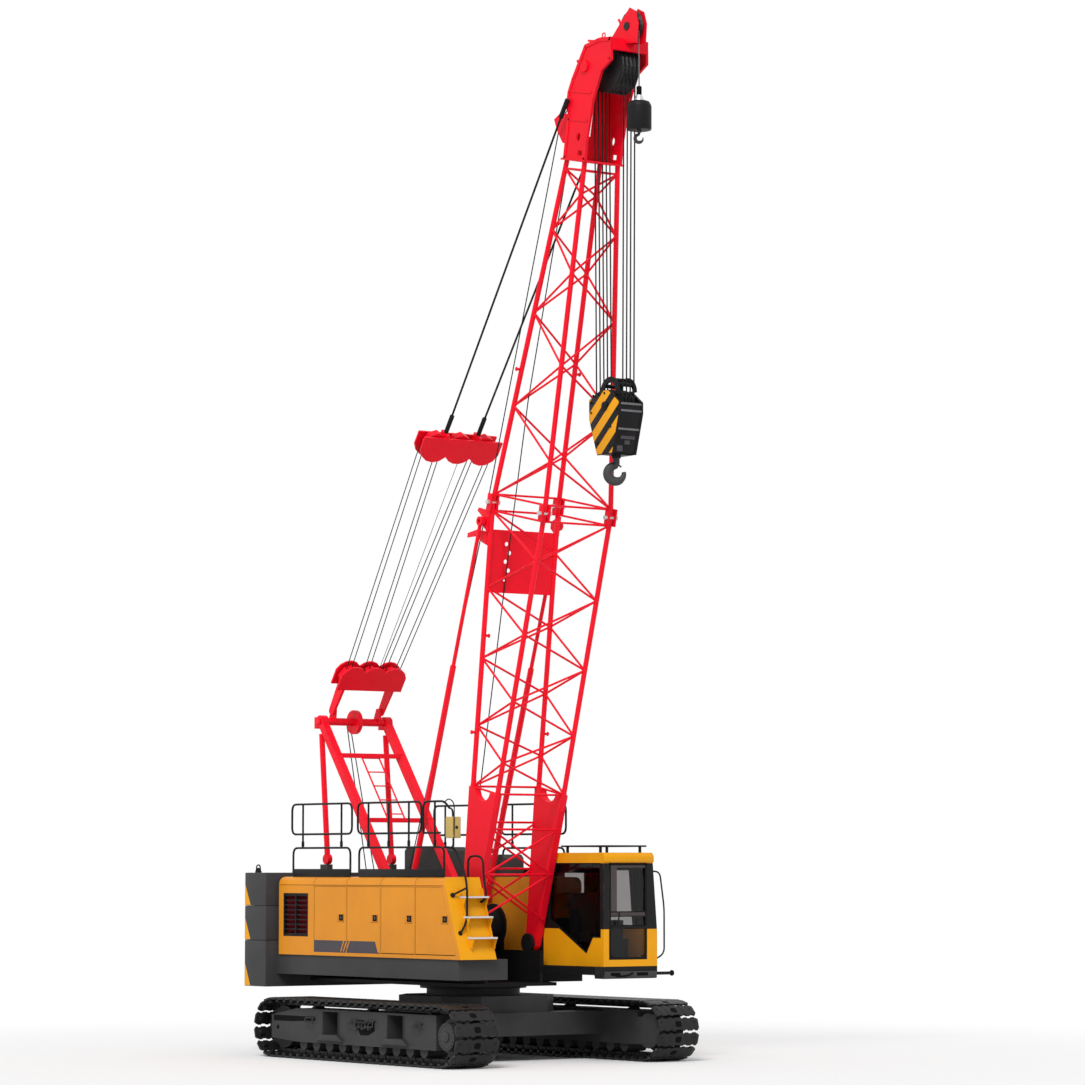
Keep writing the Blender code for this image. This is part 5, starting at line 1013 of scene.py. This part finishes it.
def addHoistRopes():
    bm = bmesh.new()
    for start, spots in (
            ((0.16, -0.30, 1.93), ((6.3, -0.30, 0.53), (8.06, -0.30, 0.49), (11.85, -0.20, 0.31), (12.75, -0.14, 0.25),
                                   (13.0, -0.134, 0.03))),
            ((-1.49, -0.34, 2.06), ((5.97, -0.50, 1.0), (11.9, -0.25, 0.60), (12.16, -0.20, 0.645), (12.5, -0.12, 0.50),
                                    (13.72, 0.0, -0.345)))):
        path = [Vector(start)] + [boomPoint(*spot) for spot in spots]
        dense = []
        for a, b in zip(path, path[1:]):
            steps = max(1, int((b - a).length / 0.4))
            dense += [a.lerp(b, k / steps) for k in range(steps)]
        addTube(bm, dense + path[-1:], ropes["hoist"], 8)
    piece = finishPiece("hoistRopes", bm, "wireRope")
    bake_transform(piece)
    bm = bmesh.new()
    for y in (-0.03, 0.03):
        addTube(bm, [(-2.54, y * 3, 1.86), (-3.44, y, 5.11)], ropes["hoist"], 8)
    finishPiece("boomHoistLead", bm, "wireRope", "upper")


def addDrumRopes():
    # rope wound on each drum
    half = ropes["drumHalf"]
    pitch = 2 * half / ropes["turns"]
    for name, x, z, radius in ropes["drums"]:
        profile = [(radius - 0.01, -half)]
        for i in range(ropes["turns"]):
            profile += [(radius + proud, -half + (i + share) * pitch)
                        for proud, share in ((0.012, 0.02), (0.022, 0.25), (0.024, 0.5), (0.022, 0.75))]
        profile += [(radius + 0.012, half), (radius - 0.01, half), profile[0]]
        finishPiece(f"{name}DrumRope", turnedPiece(profile, Matrix.Translation((x, 0.0, z))), "wireRope", "upper")


addMainFalls()
addAuxFall()
addStayFalls()
addHoistRopes()
addDrumRopes()
print("ropes strung")

# hook block: striped cheeks, covers, bolts, and the rope guard over its sheaves
block = {
    "length": 0.72, "height": 0.93, "halfY": 0.2175, "boss": (0.03, 0.229), "guard": (0.23, 0.085, 0.43),
    "outline": ((-0.50, 0.08), (-0.50, 0.38), (-0.14, 0.50), (0.14, 0.50), (0.50, 0.30), (0.50, 0.12), (0.27, -0.50),
                (-0.24, -0.50)),
    "bolts": ((-0.244, 0.405), (-0.131, 0.415), (-0.307, 0.307), (-0.297, 0.16), (0.309, 0.162), (0.168, -0.078),
              (0.02, 0.42), (-0.16, -0.30), (0.13, -0.36)),
    "bands": ((0.23, 0.352), (0.13, 0.352), (-0.13, 0.288)),
    "crosshead": ((0.236, -0.11, -0.255, 0.262, 0.14, -0.195), (0.225, -0.03, -0.33, 0.245, 0.06, -0.25),
                  (0.205, -0.15, -0.43, 0.222, -0.05, -0.33)),
}


def addBlockTrim():
    x, z, length, height, half = headCentre.x, blockZ, block["length"], block["height"], block["halfY"]
    cheek, bm = bmesh.new(), bmesh.new()
    outline = [(x + length * a * 0.97, z + height * b * 0.98) for a, b in block["outline"]]
    boss = (x + block["boss"][0], z + block["boss"][1])
    for side in (-1, 1):
        addPrism(cheek, outline, side * (half - 0.001), side * (half + 0.006))
        face = side * (half + 0.006)
        for dx, dz in block["bolts"]:
            addPin(bm, (x + dx, z + dz), face - side * 0.002, face + side * 0.014, 0.017, 6)
        addPin(bm, boss, face - side * 0.002, face + side * 0.022, 0.066, 24)
        addPin(bm, boss, face, face + side * 0.034, 0.030)
    finishPiece("blockCheeks", cheek, "blockStripes", "block", bevel=0.003)
    # the rope guard over the sheaves, the outer edges of the sheaves under it
    reach, wall, top = block["guard"]

    def guardSpots(radius, turns):
        return [(x + 0.06 + radius * math.cos(a), z + top + radius * math.sin(a)) for a in map(math.radians, turns)]

    for y in (-0.15, 0.15):
        addPlate(bm, guardSpots(reach, range(0, 181, 15)) + guardSpots(reach - wall, range(180, -1, -15)), y, 0.012)
    for spot in guardSpots(reach - wall / 2, (35, 90, 145)):
        addPin(bm, spot, -0.16, 0.16, 0.030, 14)
    for y in (-0.10, -0.033, 0.033, 0.10):
        addPin(bm, (boss[0] - 0.02, boss[1] - 0.05), y - 0.022, y + 0.022, 0.30, 40)
    finishPiece("blockBolts", bm, "blackPaint", "block", bevel=0.0025)
    bm = bmesh.new()
    for way in (-1, 1):
        spots = sorted((spot for spot in block["outline"] if spot[0] * way > 0), key=lambda spot: -spot[1])
        path = [Vector((x + length * a * 0.985, z + height * b * 0.97)) for a, b in spots]
        for a, b in zip(path[1:], path[2:]):
            ahead = (b - a).normalized()
            inward = Vector((-ahead.y, ahead.x)) * 0.012
            if inward.x * way > 0:
                inward = -inward
            addPlate(bm, [a, b, b + inward, a + inward], 0.0, 0.182)
    addBar(bm, (x, 0.0, z - height / 2 + 0.02), (x, 0.0, z - height / 2 - 0.045), 0.075, 6)
    finishPiece("blockCovers", bm, "blackPaint", "block", bevel=0.003)
    bm = bmesh.new()
    for dz, out in block["bands"]:
        addBlock(bm, (x + out, -0.185, z + dz), (x + out + 0.014, 0.185, z + dz + 0.030))
    finishPiece("blockBands", bm, "greyRope", "block", bevel=0.003)
    bm = bmesh.new()
    for x0, low, z0, x1, high, z1 in block["crosshead"]:
        addBlock(bm, (x + x0, low, z + z0), (x + x1, high, z + z1))
    finishPiece("blockCrosshead", bm, "stripeGrey", "block", bevel=0.004)


# hooks turned towards the photograph's camera, and the ball weight's turned parts by (radius, height)
hooks = {"turn": 54.0}
ball = {
    "ballWeight": (((0.0, 0.212), (0.120, 0.212), (0.150, 0.200), (0.176, 0.150), (0.180, 0.13), (0.179, -0.19),
                    (0.172, -0.21), (0.0, -0.21)), 40, "blackPaint", 0.004),
    "ballSocket": (((0.0, 0.43), (0.030, 0.43), (0.038, 0.42), (0.038, 0.30), (0.0, 0.30)), 24, "deepBlack", 0.002),
    "ballCone": (((0.0, 0.302), (0.040, 0.302), (0.046, 0.29), (0.082, 0.2105), (0.0, 0.2105)), 32, "brightSteel", 0.0),
}


def addHook(bm, centre, radius, shank, thickness, sweep, taper, sides):
    # from the top of the shank round to the tip, thickest at the bottom of its bow
    path = [centre + Vector((0.0, 0.0, shank)), centre + Vector((0.0, 0.0, radius * 1.25))]
    sizes = [thickness * 0.42, thickness * 0.42]
    turn = Matrix.Rotation(math.radians(hooks["turn"]), 3, "Z")
    for i in range(1, 33):
        share = i / 32
        angle = math.radians(90.0 + sweep * share)
        reach = radius * (1.0 + 0.10 * math.sin(math.pi * share))
        path.append(centre + turn @ Vector((reach * math.cos(angle), 0.0, reach * math.sin(angle))))
        sizes.append(thickness * (0.44 + 0.16 * math.sin(math.pi * min(1.0, share * 1.25)))
                     * (1.0 - taper * max(0.0, share - 0.72) / 0.28))
    addTube(bm, path, sizes, sides)
    return turn


def addHooks():
    centre = Vector((headCentre.x, 0.0, blockZ - block["height"] / 2 - 0.26))
    bm = bmesh.new()
    turn = addHook(bm, centre, 0.110, 0.258, 0.122, 278.0, 0.45, 16)
    addTube(bm, [centre + turn @ Vector((-0.02, 0.0, 0.165)), centre + turn @ Vector((0.075, 0.0, 0.085))], 0.012, 8)
    finishPiece("forgedHook", bm, "forgedGrey", "main_hook", crease=50.0, replaced="main_hook")
    upright = Matrix.Translation((ballX, 0.0, ballZ)) @ Matrix.Rotation(math.pi / 2, 4, "X")
    for name, (profile, steps, finish, bevel) in ball.items():
        finishPiece(name, turnedPiece(profile, upright, steps), finish, "aux_ball", bevel,
                    replaced="aux_ball" if name == "ballWeight" else None)
    bm = bmesh.new()
    addHook(bm, Vector((ballX, 0.0, ballZ - 0.33)), 0.054, 0.125, 0.044, 285.0, 0.72, 14)
    addBar(bm, (ballX, 0.0, ballZ - 0.20), (ballX, 0.0, ballZ - 0.245), 0.036, 6)
    finishPiece("ballHook", bm, "forgedGrey", "aux_ball", crease=50.0)


addBlockTrim()
addHooks()
print("hooks forged")

# boom: the two laced sections, drawn in round tube on the solids' own lines
lattice = {
    "chord": 0.038, "lacing": 0.0165, "lap": 0.25,
    "baseShares": (0.0, 0.112, 0.214, 0.333, 0.452, 0.571, 0.702, 0.833, 0.971),
    "topShares": (0.0234, 0.1465, 0.2832, 0.42, 0.5566, 0.6836, 0.8008, 0.9082, 0.9766),
    "braceShares": (0.17, 0.47, 0.77),
    "legHalf": 0.055, "legEdge": 0.03, "eyeRadius": 0.125, "notch": 0.16, "notchShare": 0.6,
    "panelSpan": (5.17, 6.10), "panelHalf": 0.007, "holeRadius": 0.032, "holeY": -0.27,
    "holeShares": (0.22, 0.36, 0.50, 0.64, 0.78),
    "lugAlong": 6.2, "lugRise": 0.75, "lugY": 0.63, "lugHalf": 0.03,
}


def chordPoint(along, side, face):
    return boomPoint(along, side * halfWidth(along), face * halfDepth(along))


def addLacing(bm, start, end):
    # a tube with a short thicker weld collar at each end
    addBar(bm, start, end, lattice["lacing"])
    way = (end - start).normalized() * 0.055
    for foot, along in ((start, way), (end, -way)):
        addBar(bm, foot, foot + along, lattice["lacing"] * 1.45, 12, lattice["lacing"] * 1.02)


def addSection(bm, places, start, end):
    for side in (-1, 1):
        for face in (-1, 1):
            addBar(bm, chordPoint(start, side, face), chordPoint(end, side, face), lattice["chord"], 20)
    for i, (near, far) in enumerate(zip(places, places[1:])):
        way = 1 if i % 2 else -1
        for side in (-1, 1):
            addLacing(bm, chordPoint(near, side, way * side), chordPoint(far, side, -way * side))
            addLacing(bm, chordPoint(near, way * side, side), chordPoint(far, -way * side, side))
    for x in (places[0], places[-1]):
        for way in (-1, 1):
            addLacing(bm, chordPoint(x, -1, way), chordPoint(x, 1, way))
            addLacing(bm, chordPoint(x, way, -1), chordPoint(x, way, 1))


def addLegPlate(bm, side):
    leg, half, edge, eye = boom["legEnd"], halfDepth(boom["legEnd"]), lattice["legEdge"], lattice["eyeRadius"]
    y, wall = side * boom["width"] / 2, lattice["legHalf"]
    outline = [(0.0, -eye), (leg, -half - edge)]
    for a in (math.radians(15 * i - 90) for i in range(13)):
        outline.append((leg - lattice["notch"] * math.cos(a), half * lattice["notchShare"] * math.sin(a)))
    addPlate(bm, outline + [(leg, half + edge), (0.0, eye)], y, wall, boomFrame)
    addPin(bm, (0.0, 0.0), y - wall, y + wall, eye, 40, boomFrame)
    for low, high in ((-half - edge, -half + 0.02), (half - 0.02, half + edge)):
        addPlate(bm, [(leg - 0.01, low), (leg + 0.10, low + 0.015 * (low < 0)),
                      (leg + 0.10, high - 0.015 * (high > 0)), (leg - 0.01, high)], y, wall * 0.6, boomFrame)


def addSheet(bm, loops, put, low, high):
    # a plate with holes on the boom: the first loop is its outline, and put(a, b, c) makes a point of it
    sheet = bmesh.new()
    edges = []
    for loop in loops:
        verts = [sheet.verts.new(put(a, b, low)) for a, b in loop]
        edges += [sheet.edges.new(pair) for pair in zip(verts, verts[1:] + verts[:1])]
    bmesh.ops.triangle_fill(sheet, use_beauty=True, use_dissolve=False, edges=edges)
    grown = bmesh.ops.extrude_face_region(sheet, geom=list(sheet.faces))["geom"]
    step = Vector(put(0.0, 0.0, high)) - Vector(put(0.0, 0.0, low))
    bmesh.ops.translate(sheet, vec=step, verts=[part for part in grown if isinstance(part, bmesh.types.BMVert)])
    bmesh.ops.transform(sheet, matrix=boomFrame, verts=sheet.verts)
    mesh = bpy.data.meshes.new("sheet")
    sheet.to_mesh(mesh)
    sheet.free()
    bm.from_mesh(mesh)
    bpy.data.meshes.remove(mesh)


def addGuidePanel(bm):
    # the plate between the rear chords, with its row of holes
    low, high = lattice["panelSpan"]
    half, wall, hole = boom["width"] / 2, lattice["panelHalf"], lattice["holeRadius"]
    loops = [oblong(low, -half, high, half)]
    for i, share in enumerate(lattice["holeShares"]):
        loops.append(circle(low + (high - low) * share, lattice["holeY"] + (hole if i % 2 else -hole), hole))
    addSheet(bm, loops, lambda a, b, c: (a, b, halfDepth(a) + c), -wall, wall)


def stationsOf(start, end, shares):
    return [start + (end - start) * share for share in shares]


def addBoomSections():
    leg, end, start = boom["legEnd"], boom["sectionEnd"], boom["headStart"]
    bm = bmesh.new()
    addSection(bm, stationsOf(leg, end, lattice["baseShares"]), leg - lattice["lap"], end - 0.015)
    along, rise = lattice["lugAlong"], lattice["lugRise"] + 0.05
    foot = halfDepth(along)
    for side in (-1, 1):
        addLegPlate(bm, side)
        addPlate(bm, [(along - 0.15, foot), (along + 0.15, foot), (along + 0.05, rise), (along - 0.05, rise)],
                 side * lattice["lugY"], lattice["lugHalf"], boomFrame)
    levels = [leg * share for share in lattice["braceShares"]]
    for face in (-1, 1):
        for low, high in zip(levels, levels[1:]):
            for way in (-1, 1):
                addLacing(bm, chordPoint(low, -way, face), chordPoint(high, way, face))
            addLacing(bm, chordPoint(high, -1, face), chordPoint(high, 1, face))
    addGuidePanel(bm)
    finishPiece("baseSection", bm, "boomRed", "boom", replaced="boom_base")
    bm = bmesh.new()
    addSection(bm, stationsOf(end, start, lattice["topShares"]), end + 0.015, start - 0.0003)
    finishPiece("topSection", bm, "boomRed", "boom", replaced="boom_top")


addBoomSections()
print("boom laced")

# boom head: pierced side plates with ribs, the cross plate over the sheaves, narrow fins for the auxiliary sheave;
# its pairs are shares of the head's length and of the tip's depth
head = {
    "outline": ((0.0, 0.62), (0.50, 0.66), (0.56, 0.80), (0.72, 0.80), (0.86, 0.66), (1.225, 0.16), (1.304, -0.57),
                (1.326, -1.25), (1.087, -1.41), (0.971, -0.96), (0.652, -0.66), (0.203, -0.57), (0.0, -0.62)),
    "fin": ((1.275, -0.40), (1.325, -0.50), (1.652, -1.30), (1.622, -1.636), (1.50, -1.86), (1.290, -1.93),
            (1.275, -1.15)),
    "bracket": ((0.18, 0.40), (0.50, 0.40), (0.485, 1.36), (0.42, 1.64), (0.31, 1.41), (0.18, 1.0)),
    "plateY": 0.315, "wall": 0.03, "finY": 0.075, "finHalf": 0.009, "bracketY": (-0.25, -0.15),
    "rib": 0.055, "ribProud": 0.012, "frame": 0.07, "rearWeb": 0.80, "slot": (0.28, 0.56), "nose": (1.26, 0.08, -0.50),
    "hole": (0.255, -0.07), "slotHole": (0.089, -0.25), "anchor": (12.5, 0.283, 0.340),
}


def headPoint(pair):
    return (boom["headStart"] + (boom["length"] - boom["headStart"]) * pair[0], boom["tipDepth"] * pair[1])


def addHead():
    bm, dark = bmesh.new(), bmesh.new()
    start, depth, wall, plateY = boom["headStart"], boom["tipDepth"], head["wall"], head["plateY"]
    y, rise, margin = boom["tipWidth"] / 2 + head["frame"], depth / 2 + head["frame"], 2 * head["frame"]
    addSheet(bm, [oblong(-y, -rise, y, rise), oblong(margin - y, margin - rise, y - margin, rise - margin)],
             lambda a, b, c: (c, a, b), start, start + wall)
    outline = [headPoint(pair) for pair in head["outline"]]
    x, z = headPoint(head["slotHole"])
    loops = [outline, circle(*headPoint(head["hole"]), 0.062, 24, 0.72),
             oblong(x - 0.035, z - 0.055, x + 0.035, z + 0.055)]
    for side in (-1, 1):
        y = side * plateY
        addSheet(bm, loops, lambda a, b, c: (a, c, b), y - wall / 2, y + wall / 2)
        face = y + side * wall / 2
        proud = face - side * 0.002, face + side * head["ribProud"]
        addStrips(bm, outline, head["rib"], *proud, "Y", boomFrame, head["rib"] * 0.3)
        for share in (0.42, 0.72):
            x = headPoint((share, 0.0))[0]
            addPrism(bm, oblong(x, -depth * 0.52, x + 0.03, depth * 0.60), *proud, "Y", boomFrame)
        addPin(bm, (boom["length"], 0.0), face - side * 0.002, face + side * 0.035, 0.085, 28, boomFrame)
        x, reach, rise = head["anchor"][0], head["anchor"][2], head["anchor"][1]
        addPin(bm, (x, rise), y, side * reach, 0.045, 20, boomFrame)
        ring = [boomPoint(a, y, b) for a, b in circle(*headPoint((1.335, -0.78)), 0.035, 16)]
        addTube(bm, ring, 0.009, 8, closed=True)
        x, rise = headPoint((1.05, 0.40))
        addBar(bm, boomPoint(x, y, rise - 0.02), boomPoint(x, y, rise + 0.05), 0.022)
        addPlate(bm, [headPoint(pair) for pair in head["fin"]], side * head["finY"], head["finHalf"], boomFrame)
    for y in head["bracketY"]:
        addPlate(bm, [headPoint(pair) for pair in head["bracket"]], y, 0.011, boomFrame)
    addPin(dark, headPoint((0.38, 1.22)), -0.238, -0.162, 0.10, 28, boomFrame)
    length, rise = boom["length"] - start, depth / 2
    a, b = (start + length * share for share in head["slot"])
    addSheet(bm, [oblong(start, -plateY, start + length * head["rearWeb"], plateY), oblong(a, -0.07, b, 0.07)],
             lambda a, b, c: (a, b, c), rise - 0.01, rise + 0.01)
    x, top = headPoint(head["nose"][:2])
    addBlock(bm, (x, -plateY, depth * head["nose"][2]), (x + 0.03, plateY, top), boomFrame)
    corner, lip = headPoint((1.316, -0.56)), headPoint((1.318, -1.25))
    addPlate(bm, [corner, (corner[0], corner[1] + 0.05), (lip[0] - 0.02, lip[1] + 0.03), headPoint((1.19, -1.36)),
                  headPoint((1.20, -1.42)), lip], 0.0, plateY, boomFrame)
    x, rise = headPoint((1.50, -0.88))
    addBar(bm, boomPoint(x - 0.02, -0.075, rise), boomPoint(x + 0.03, -0.075, rise + 0.05), 0.018)
    finishPiece("headPlates", bm, "boomRed", "boom", replaced="boom_head")
    finishPiece("headRoller", dark, "blackPaint", "boom", bevel=0.004)


addHead()
print("boom head made")

# boom: joint pins and clevises, foot pin caps, studs as (along, side, way), rope guides and their roller
boomTrim = {
    "pinRadius": 0.034, "pinHalf": 0.115,
    "studs": ((4.53, -1, -1), (8.50, 1, 1), (8.50, -1, 1), (3.10, -1, 1), (3.10, 1, 1)),
    "guideY": -0.60,
    "guides": (((5.84, None), (6.06, None), (6.05, 0.98), (5.97, 1.20), (5.90, 1.20), (5.95, 0.98), (5.88, 0.80)),
               ((6.14, None), (6.36, None), (6.38, 0.99), (6.33, 1.02), (6.27, 0.90), (6.20, 0.88))),
}


def addBoomTrim():
    bright, red, dark, gold = (bmesh.new() for i in range(4))
    end, half = boom["sectionEnd"], boomTrim["pinHalf"]
    for side in (-1, 1):
        for face in (-1, 1):
            y, rise = side * halfWidth(end), face * halfDepth(end)
            addPin(bright, (end, rise), y - half, y + half, boomTrim["pinRadius"], 16, boomFrame)
            for lift in (-0.058, 0.058):
                addPlate(red, oblong(end - 0.13, rise - 0.055, end + 0.13, rise + 0.055), y + lift, 0.014, boomFrame)
        y = boom["width"] / 2 + 0.055
        addPin(gold, (0.0, 0.0), side * (y + 0.035), side * (y + 0.060), 0.055, 24, boomFrame)
        addPin(gold, (0.0, 0.0), side * (y + 0.055), side * (y + 0.070), 0.030, 6, boomFrame)
    for along, side, way in boomTrim["studs"]:
        spot, y, out = (along, halfDepth(along)), side * halfWidth(along), side * way
        addPin(red, spot, y + out * 0.035, y + out * 0.095, 0.020, 12, boomFrame)
        addPin(red, spot, y + out * 0.089, y + out * 0.101, 0.032, 12, boomFrame)
    for guide in boomTrim["guides"]:
        outline = [(along, halfDepth(along) if rise is None else rise) for along, rise in guide]
        addPlate(red, outline, boomTrim["guideY"], 0.012, boomFrame)
    addPin(bright, (5.97, 0.985), -0.60, -0.42, 0.018, 12, boomFrame)
    addPin(dark, (5.97, 0.985), -0.56, -0.44, 0.045, 20, boomFrame)
    for name, bm, finish in (("boomPins", bright, "brightSteel"), ("footPinCaps", gold, "brass"),
                             ("boomClevises", red, "boomRed"), ("guideRoller", dark, "blackPaint")):
        finishPiece(name, bm, finish, "boom", bevel=0.003)


gantry = {"foot": (-0.70, 0.0, 1.76), "top": (-3.26, 0.0, 5.13), "railY": 0.16, "railShares": (0.16, 0.46),
          "rungShares": (0.18, 0.245, 0.31, 0.375, 0.44), "lift": 0.03}


def addGantryTrim():
    # a ladder of thin rails between the cross members, and bolts on the lugs
    bm = bmesh.new()
    foot, top = Vector(gantry["foot"]), Vector(gantry["top"])

    def spot(share, y):
        return top.lerp(foot, share) + Vector((0.0, y, gantry["lift"]))

    for y in (-gantry["railY"], gantry["railY"]):
        addBar(bm, *(spot(share, y) for share in gantry["railShares"]), 0.014, 10)
    for share in gantry["rungShares"]:
        addBar(bm, spot(share, -gantry["railY"]), spot(share, gantry["railY"]), 0.011, 10)
    for side in (-1, 1):
        addPin(bm, (-3.26, 5.13), side * 0.66, side * 0.685, 0.05, 20)
        addBlock(bm, (-3.42, side * 0.60 - 0.05, 5.02), (-3.33, side * 0.60 + 0.05, 5.20))
    finishPiece("gantryLadder", bm, "boomRed", "upper", bevel=0.003)


addBoomTrim()
addGantryTrim()
print("boom and gantry trimmed")
